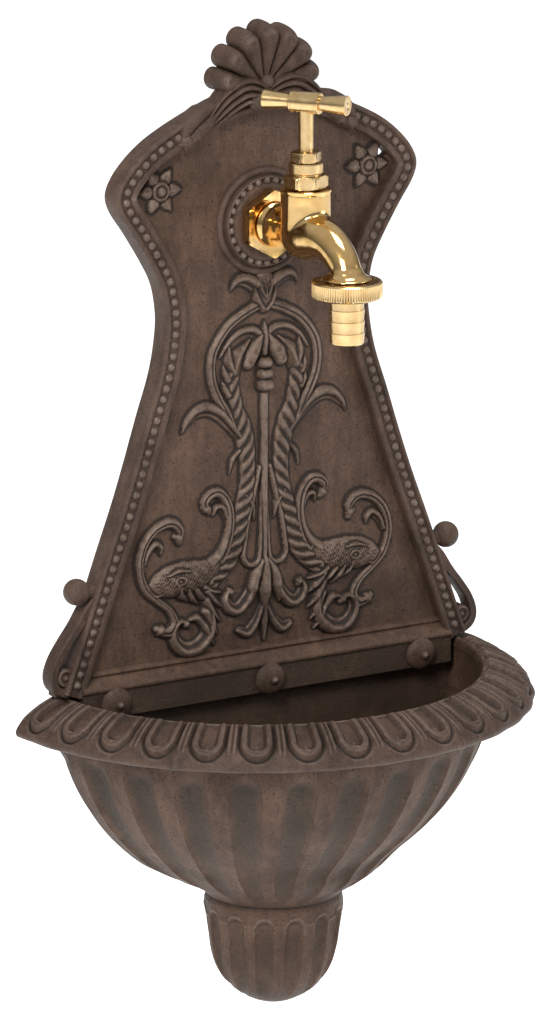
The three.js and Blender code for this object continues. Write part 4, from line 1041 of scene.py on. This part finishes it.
def rolled_rim():
    """The rim: its section carried round the half circle, with the eggs raised on the slope and a lip that
    waves a little with them."""
    section = evenly(smooth_line(RIM_SECTION, 6), 0.8)
    angle = np.linspace(-np.pi / 2, np.pi / 2, EGGS * 44 + 1)[:, None]
    radius, level = section[None, :, 0], section[None, :, 1]
    upper = (np.arange(len(section)) < section[:, 0].argmax())[None]
    rise = np.where(upper, rim_relief(angle, radius), 0)
    wave = 0.5 * np.cos(2 * np.pi * (angle / np.pi + 0.5) * EGGS) * swell(radius, 176, 182)
    r = radius + 0.5 * rise + wave - 0.5 * swell(radius, 176, 182)
    return skin(np.stack([r * np.sin(angle), np.minimum(-r * np.cos(angle), 0), level + 0.87 * rise + 0 * angle], -1))


def back_wall_top():
    """The top of the basin's back wall, with a slightly rounded front edge."""
    front = BACK_WALL + 0.15
    return bar([(0.3, 4), (0.3, CREST_HEIGHT), (front - 1, CREST_HEIGHT), (front, CREST_HEIGHT - 1), (front, 4)],
               -WALL_TOP_HALF, WALL_TOP_HALF)


def note_painted_shade(mesh):
    """Writes painted shade as an attribute on the bowl: 1 in the flutes, less on their sides, 0 on the ribs, and a
    little all over the inside."""
    x, y, z = (read_points(mesh) / MM).T
    below = z < NECK_LEVEL
    forward = np.where(below, PENDANT_FORWARD, np.interp(-z, [-r[1] for r in BOWL_ROWS], [r[2] for r in BOWL_ROWS]))
    radius = np.hypot(x, -y - forward)
    shape = np.interp(-z, [-r[1] for r in BOWL_ROWS + PENDANT_ROWS], [r[0] for r in BOWL_ROWS + PENDANT_ROWS])
    angle = np.arctan2(x, -y - forward)
    limit = np.arccos(np.clip(-forward / np.maximum(shape, 1), -1, 1))
    repeats = np.where(below, PENDANT_RIBS, RIBS)
    hollow = fluting(angle, limit, repeats, RIB_SHARE)[0]
    top = np.where(below, -141, -17)
    outside = (radius > shape - 4.9) & (y < -0.5)
    # Painted shade in the troughs of the flutes, stronger higher up, and over the inside.
    amount = swell(hollow, 0.25, 1.0) * swell(top - z, 0, 9) * (0.45 + 0.55 * swell(z, -120, -40)) * outside
    note(mesh, "painted_shade", np.clip(np.maximum(amount, 0.55 * ((radius < shape - 5.1) | (z > 12))), 0, 1))


def note_painted_shade_below(mesh, level, amount):
    """Writes painted shade as an attribute on a piece: the amount on all points below the level, and 0 above it."""
    note(mesh, "painted_shade", amount * (read_points(mesh)[:, 2] / MM < level))


def bolt(x):
    """A domed bolt head with a small nub, and its shank."""
    seat = BORDER_DEPTH + 0.3
    round_head = [(1, 0), (1, 0.9), (0.985, 1.7), (0.93, 2.7), (0.84, 3.7), (0.70, 4.7), (0.54, 5.4), (0.36, 5.9),
                  (0.27, 6.3), (0.22, 7.0), (0.15, 7.7), (0.07, 8.3), (0, 8.5)]
    profile = [(0, 1), (4, 1), (4, seat), *((BOLT_RADIUS * share, seat + rise) for share, rise in round_head)]
    return turned(profile, 56, (x, BOLT_LEVEL), upright=False)


# Tap

def six_sided(corner, levels, chamfers, centre, upright=True, turn=0.0):
    """A hexagon nut. Round each ring the radius is the flat's distance over the cosine of the angle from the
    flat, and no more than that ring's chamfer radius, which curves the corners as a lathe does."""
    angle = round_turn(180)
    flat = corner * math.cos(math.pi / 6)
    cell = (angle - turn) % (np.pi / 3) - np.pi / 6
    radius = np.minimum(flat / np.cos(cell), np.array(chamfers)[:, None])
    level = np.array(levels, float)[:, None] + 0 * radius
    return skin(rings_at(radius, angle, level, centre, upright))


def tap_flange():
    """The six-sided wall flange with its corners up and down, and a dished front."""
    back = BOSS_FRONT + 0.3
    front = back + FLANGE_THICKNESS
    corner = FLANGE_ACROSS / 2
    levels = [back, back + 0.4, front - 0.7, front - 0.1, front, front - 0.3, front - 0.6, front - 0.6]
    return six_sided(corner, levels,
                     [corner - 0.4, corner, corner, corner - 0.5, corner - 1.4, 18.0, 15.0, 6.0],
                     (0, BOSS_LEVEL), upright=False)


def spout_line():
    """The middle line of the spout with its radius: out of the barrel, over in a long S and down to the union."""
    z = BOSS_LEVEL
    out, end = TAP_FORWARD, SPOUT_FORWARD
    points = [(out - 3, z - 0.4, 16.2), (out + 6, z + 0.4, 16.0), (out + 15, z + 1.2, 14.6),
              (out + 24, z + 0.6, 13.0), (out + 32.5, z - 2.0, 11.7), (end - 8, z - 7.0, 10.7),
              (end - 2.2, z - 13, 10.1),
              (end, UNION_TOP + 1, 10.1)]
    return smooth_line(points, 8)


def spout():
    """The spout: circles across its middle line, with the radius read along it."""
    line = spout_line()
    way = np.gradient(line[:, :2], axis=0)
    way /= np.linalg.norm(way, axis=1)[:, None]
    turn = round_turn(64)[None]
    x = line[:, 2:3] * np.sin(turn)
    rise = line[:, 2:3] * np.cos(turn)
    depth = line[:, :1] - way[:, 1:2] * rise
    level = line[:, 1:2] + way[:, :1] * rise
    return skin(np.stack([x, -depth, level], -1))


def tap_body():
    """The cast body: inlet, barrel, spout and flared foot, melted into one skin by a fine remesh and evened out,
    so that they flow into each other as a casting does."""
    z = BOSS_LEVEL
    seat = BOSS_FRONT + 0.6 + FLANGE_THICKNESS
    pipe = moved([(0, 1.0), (0, seat), (4.6, seat), (2.6, seat + 1.6), (1.0, seat + 4.6), (0, seat + 9), (0, 42),
                  (1.0, 47), (2.0, 52), (2.0, TAP_FORWARD)], INLET_RADIUS)
    inlet = turned([(0, 1.0), *pipe, (0, TAP_FORWARD)], 72, (0, z), upright=False)
    b = BARREL_RADIUS
    tilt = np.linspace(0, np.pi / 2, 10)
    round_foot = [(0.975 * b * math.sin(t), z - 16.4 * math.cos(t)) for t in tilt]
    barrel = turned(round_foot + [(b * 0.97, z + 8), (b * 0.96, BARREL_TOP - 9), (b * 0.965, BARREL_TOP - 5),
                                  (b * 0.97, BARREL_TOP - 0.6), (0, BARREL_TOP - 0.6)], 96, (0, -TAP_FORWARD))
    u = UNION_RADIUS
    foot = turned([(0, UNION_TOP + 0.4), (u * 0.74, UNION_TOP + 0.4), (u * 0.70, UNION_TOP + 1.4),
                   (u * 0.57, UNION_TOP + 2.6), (u * 0.49, UNION_TOP + 4.4), (u * 0.45, UNION_TOP + 7),
                   (0, UNION_TOP + 8)], 96, (0, -SPOUT_FORWARD))
    lump = to_scene("lump", mesh_of("lump", all_of(inlet, barrel, foot, spout())))
    melt = lump.modifiers.new("melt", "REMESH")
    melt.mode, melt.voxel_size = "VOXEL", 0.55 * MM
    even = lump.modifiers.new("even", "SMOOTH")
    even.factor, even.iterations = 0.5, 64
    plain = bpy.data.meshes.new_from_object(lump.evaluated_get(bpy.context.evaluated_depsgraph_get()))
    bpy.data.objects.remove(lump)
    plain.name = "tap_casting"
    plain.materials.clear()
    plain.polygons.foreach_set("use_smooth", np.ones(len(plain.polygons), bool))
    return plain


def barrel_lip():
    """The turned lip on top of the barrel."""
    b = BARREL_RADIUS
    return turned([(0, BARREL_TOP - 3), (b * 0.95, BARREL_TOP - 3), (b * 0.985, BARREL_TOP - 2.2),
                   (b, BARREL_TOP - 1.2), (b, BARREL_TOP - 0.4), (b - 0.5, BARREL_TOP), (0, BARREL_TOP)],
                  96, (0, -TAP_FORWARD))


def tap_bonnet():
    """The bonnet: a chamfered hexagon, a neck, and a round collar with a groove under its edge."""
    low, corner = BARREL_TOP + 0.3, 14.3
    axis = (0, -TAP_FORWARD)
    nut = six_sided(corner, [low, low + 0.4, low + 1.2, BONNET_TOP - 1.5, BONNET_TOP - 0.8, BONNET_TOP - 0.2,
                             BONNET_TOP], [12.2, 13.0, corner, corner, 13.5, 12.9, 12.1], axis)
    c = COLLAR_RADIUS
    collar = turned([(0, BONNET_TOP - 1), (c * 0.9, BONNET_TOP - 1), (c * 0.9, BONNET_TOP + 0.9),
                     (c - 0.4, BONNET_TOP + 1.3), (c, BONNET_TOP + 1.8), (c, COLLAR_TOP - 0.7),
                     (c - 0.5, COLLAR_TOP), (c * 0.66, COLLAR_TOP), (c * 0.64, COLLAR_TOP),
                     (0, COLLAR_TOP)], 96, axis)
    return all_of(nut, collar)


def gland_nut():
    low = COLLAR_TOP + 0.3
    return six_sided(10.2, [low, low + 0.3, low + 1.1, GLAND_TOP - 1.4, GLAND_TOP - 0.6, GLAND_TOP - 0.1, GLAND_TOP],
                     [8.9, 9.4, 10.2, 10.2, 9.8, 9.2, 8.5], (0, -TAP_FORWARD), turn=math.radians(12))


def spindle():
    s = SPINDLE_RADIUS
    low = GLAND_TOP - 6
    return turned([(0, low), (s, low), (s, GLAND_TOP + 1.2), (s - 0.25, GLAND_TOP + 1.5), (s - 0.25, GLAND_TOP + 2.0),
                   (s, GLAND_TOP + 2.3), (s, HANDLE_LEVEL), (0, HANDLE_LEVEL)], 56, (0, -TAP_FORWARD))


def tee_handle():
    """The T-handle: two arms that widen to flat, faintly ringed ends, through a plain sleeve."""
    half, waist = HANDLE_LENGTH / 2, HANDLE_RADIUS * 0.72
    side = [(0, half), (1.6, half - 0.12), (1.9, half - 0.3), (2.3, half - 0.06), (HANDLE_RADIUS - 1.3, half),
            (HANDLE_RADIUS - 0.35, half - 0.12), (HANDLE_RADIUS, half - 0.6), (HANDLE_RADIUS - 0.05, half - 1.6),
            (waist + 0.1, half * 0.44), (waist, half * 0.355), (SLEEVE_RADIUS - 0.5, half * 0.352),
            (SLEEVE_RADIUS, half * 0.335), (SLEEVE_RADIUS, half * 0.29), (SLEEVE_RADIUS - 0.18, half * 0.28),
            (SLEEVE_RADIUS, half * 0.27)]
    profile = [(r, -h) for r, h in side] + [(r, h) for r, h in reversed(side)]
    points, quads, triangles = turned(profile, 72)
    along_bar, across_bar, up = points[:, 2], points[:, 0], points[:, 1]
    points = np.column_stack([along_bar * math.cos(HANDLE_TURN) + across_bar * math.sin(HANDLE_TURN),
                              -along_bar * math.sin(HANDLE_TURN) + across_bar * math.cos(HANDLE_TURN) - TAP_FORWARD,
                              up + HANDLE_LEVEL])
    return outward(points, quads, triangles)


def knurl(turn, height):
    """Straight knurling on the nut's face: rounded teeth that run out towards the nut's edges."""
    face = swell(height, UNION_TOP - UNION_RISE + 0.9, UNION_TOP - UNION_RISE + 1.8) * (
        1 - swell(height, UNION_TOP - 1.8, UNION_TOP - 0.9))
    return face * (-0.75 + 0.75 * np.abs(np.sin(turn * 42)) ** 0.6)


def hose_nut():
    """The knurled union nut, with a hole for the hose tail."""
    low, r = UNION_TOP - UNION_RISE, UNION_RADIUS
    profile = [(TAIL_RADIUS + 0.4, low), (r - 1.5, low), (r - 0.9, low + 0.15), (r - 0.45, low + 0.7),
               (r, low + 1.0), (r, low + 1.9), (r, UNION_TOP - 1.9), (r, UNION_TOP - 1.0),
               (r - 0.45, UNION_TOP - 0.7), (r - 0.9, UNION_TOP - 0.15), (r - 1.6, UNION_TOP),
               (16.8, UNION_TOP), (16.2, UNION_TOP - 0.9),
               (13.4, UNION_TOP - 0.9), (13.4, low + 2), (TAIL_RADIUS + 0.4, low + 2)]

    def teeth(turn, height):
        inner = (np.arange(len(profile)) > 3) & (np.arange(len(profile)) < 8)
        return np.where(inner[:, None], knurl(turn, height), 0)

    return turned_hollow(profile, 768, (0, -SPOUT_FORWARD), waves=teeth)


def hose_tail():
    """The hose tail: a tube with three shallow barbs and a chamfered end."""
    low = UNION_TOP - UNION_RISE - TAIL_LENGTH
    r, step = TAIL_RADIUS, TAIL_LENGTH / 4
    profile = [(TAIL_BORE, low), (r - 1.0, low), (r - 0.55, low + 0.5)]
    for k in range(1, 4):
        profile += [(r - 0.02, low + k * step - 0.3), (r, low + k * step), (r - 0.5, low + k * step + 0.25),
                    (r - 0.55, low + k * step + 0.9)]
    profile += [(r - 0.1, UNION_TOP - UNION_RISE + 2.4), (13.0, UNION_TOP - UNION_RISE + 2.4), (13.0, UNION_TOP - 6),
                (TAIL_BORE, UNION_TOP - 6)]
    return turned_hollow(profile, 96, (0, -SPOUT_FORWARD))


def build():
    """Every piece, with the body that carries it and the solid that it stands for."""
    plate = dict(body="fountain", slot="cast_iron", nodes=["back_plate"], shade_and_wear=True)
    settle("plate_border", plate_border(), IRON_DARK, **plate)
    top = PLATE_FOOT + PLATE_HEIGHT * 1.02 - 14.4
    levels = [LEDGE_TOP - 1, LEDGE_TOP + 112, LEDGE_TOP + 262, top]
    for name, low, high, gaps in zip(("plate_field_lower", "plate_field_middle", "plate_field_upper"), levels,
                                     levels[1:], ((0.62, 0.66), (0.66, 0.66), (0.74, 0.72))):
        field = field_slab(name, low, high, *gaps)
        if high == top:
            field = drilled(field, [(-SCREW_OUT, SCREW_LEVEL), (SCREW_OUT, SCREW_LEVEL)], SCREW_RADIUS)
        settle(name, field, IRON_BROWN, **plate)
    settle("plate_boss", ring_boss(), IRON_DARK, **plate)
    ledge = mesh_of("plate_ledge", ledge_and_strip())
    # Painted shade on the strip under the ledge, below the plate's foot.
    note_painted_shade_below(ledge, PLATE_FOOT + 0.4, 0.75)
    settle("plate_ledge", ledge, IRON_BROWN, **plate)
    settle("plate_shell", shell_crest(), IRON_DARK, crease=60, **plate)
    settle("plate_leaves", crest_leaves(), IRON_DARK, crease=60, **plate)
    settle("plate_volutes", both(side_volute()), IRON_DARK, **plate)
    bowl = mesh_of("basin_bowl", bowl_and_pendant(), 50)
    note_painted_shade(bowl)
    iron = dict(body="fountain", slot="cast_iron", nodes=["basin"], shade_and_wear=True)
    settle("basin_bowl", bowl, IRON_BROWN, **dict(iron, nodes=["basin", "pendant"]))
    settle("basin_rim", rolled_rim(), IRON_DARK, crease=60, **iron)
    settle("basin_back", back_wall_top(), IRON_BROWN, **iron)
    for side, x in (("left", -BOLT_SPACING), ("middle", 0), ("right", BOLT_SPACING)):
        settle("bolt_head_" + side, bolt(x), IRON_DARK, "fountain", "cast_iron", ["bolt_" + side], shade_and_wear=True)
    settle("wall_flange", tap_flange(), BRASS, "fountain", "polished_brass", ["tap_flange"], crease=24)
    settle("tap_casting", tap_body(), BRASS, "fountain", "polished_brass", ["tap_body"])
    settle("tap_lip", barrel_lip(), BRASS, "fountain", "polished_brass", ["tap_body"], crease=30)
    for name, part, finish, body, node, crease in (
            ("bonnet", tap_bonnet(), BRASS_RINGS, "fountain", "tap_bonnet", 24),
            ("gland", gland_nut(), BRASS_RINGS, "fountain", "tap_gland_nut", 24),
            ("stem", spindle(), BRASS_PLAIN, "tap_spindle", "tap_spindle", 30),
            ("tee_handle", tee_handle(), BRASS_PLAIN, "tap_spindle", "tap_handle", 30),
            ("union_nut", hose_nut(), BRASS_RINGS, "fountain", "hose_nut", 45),
            ("tail", hose_tail(), BRASS_RINGS, "fountain", "hose_tail", 24)):
        settle(name, part, finish, body, "satin_brass", [node], crease=crease)


set_up_camera()
set_up_studio()
build()
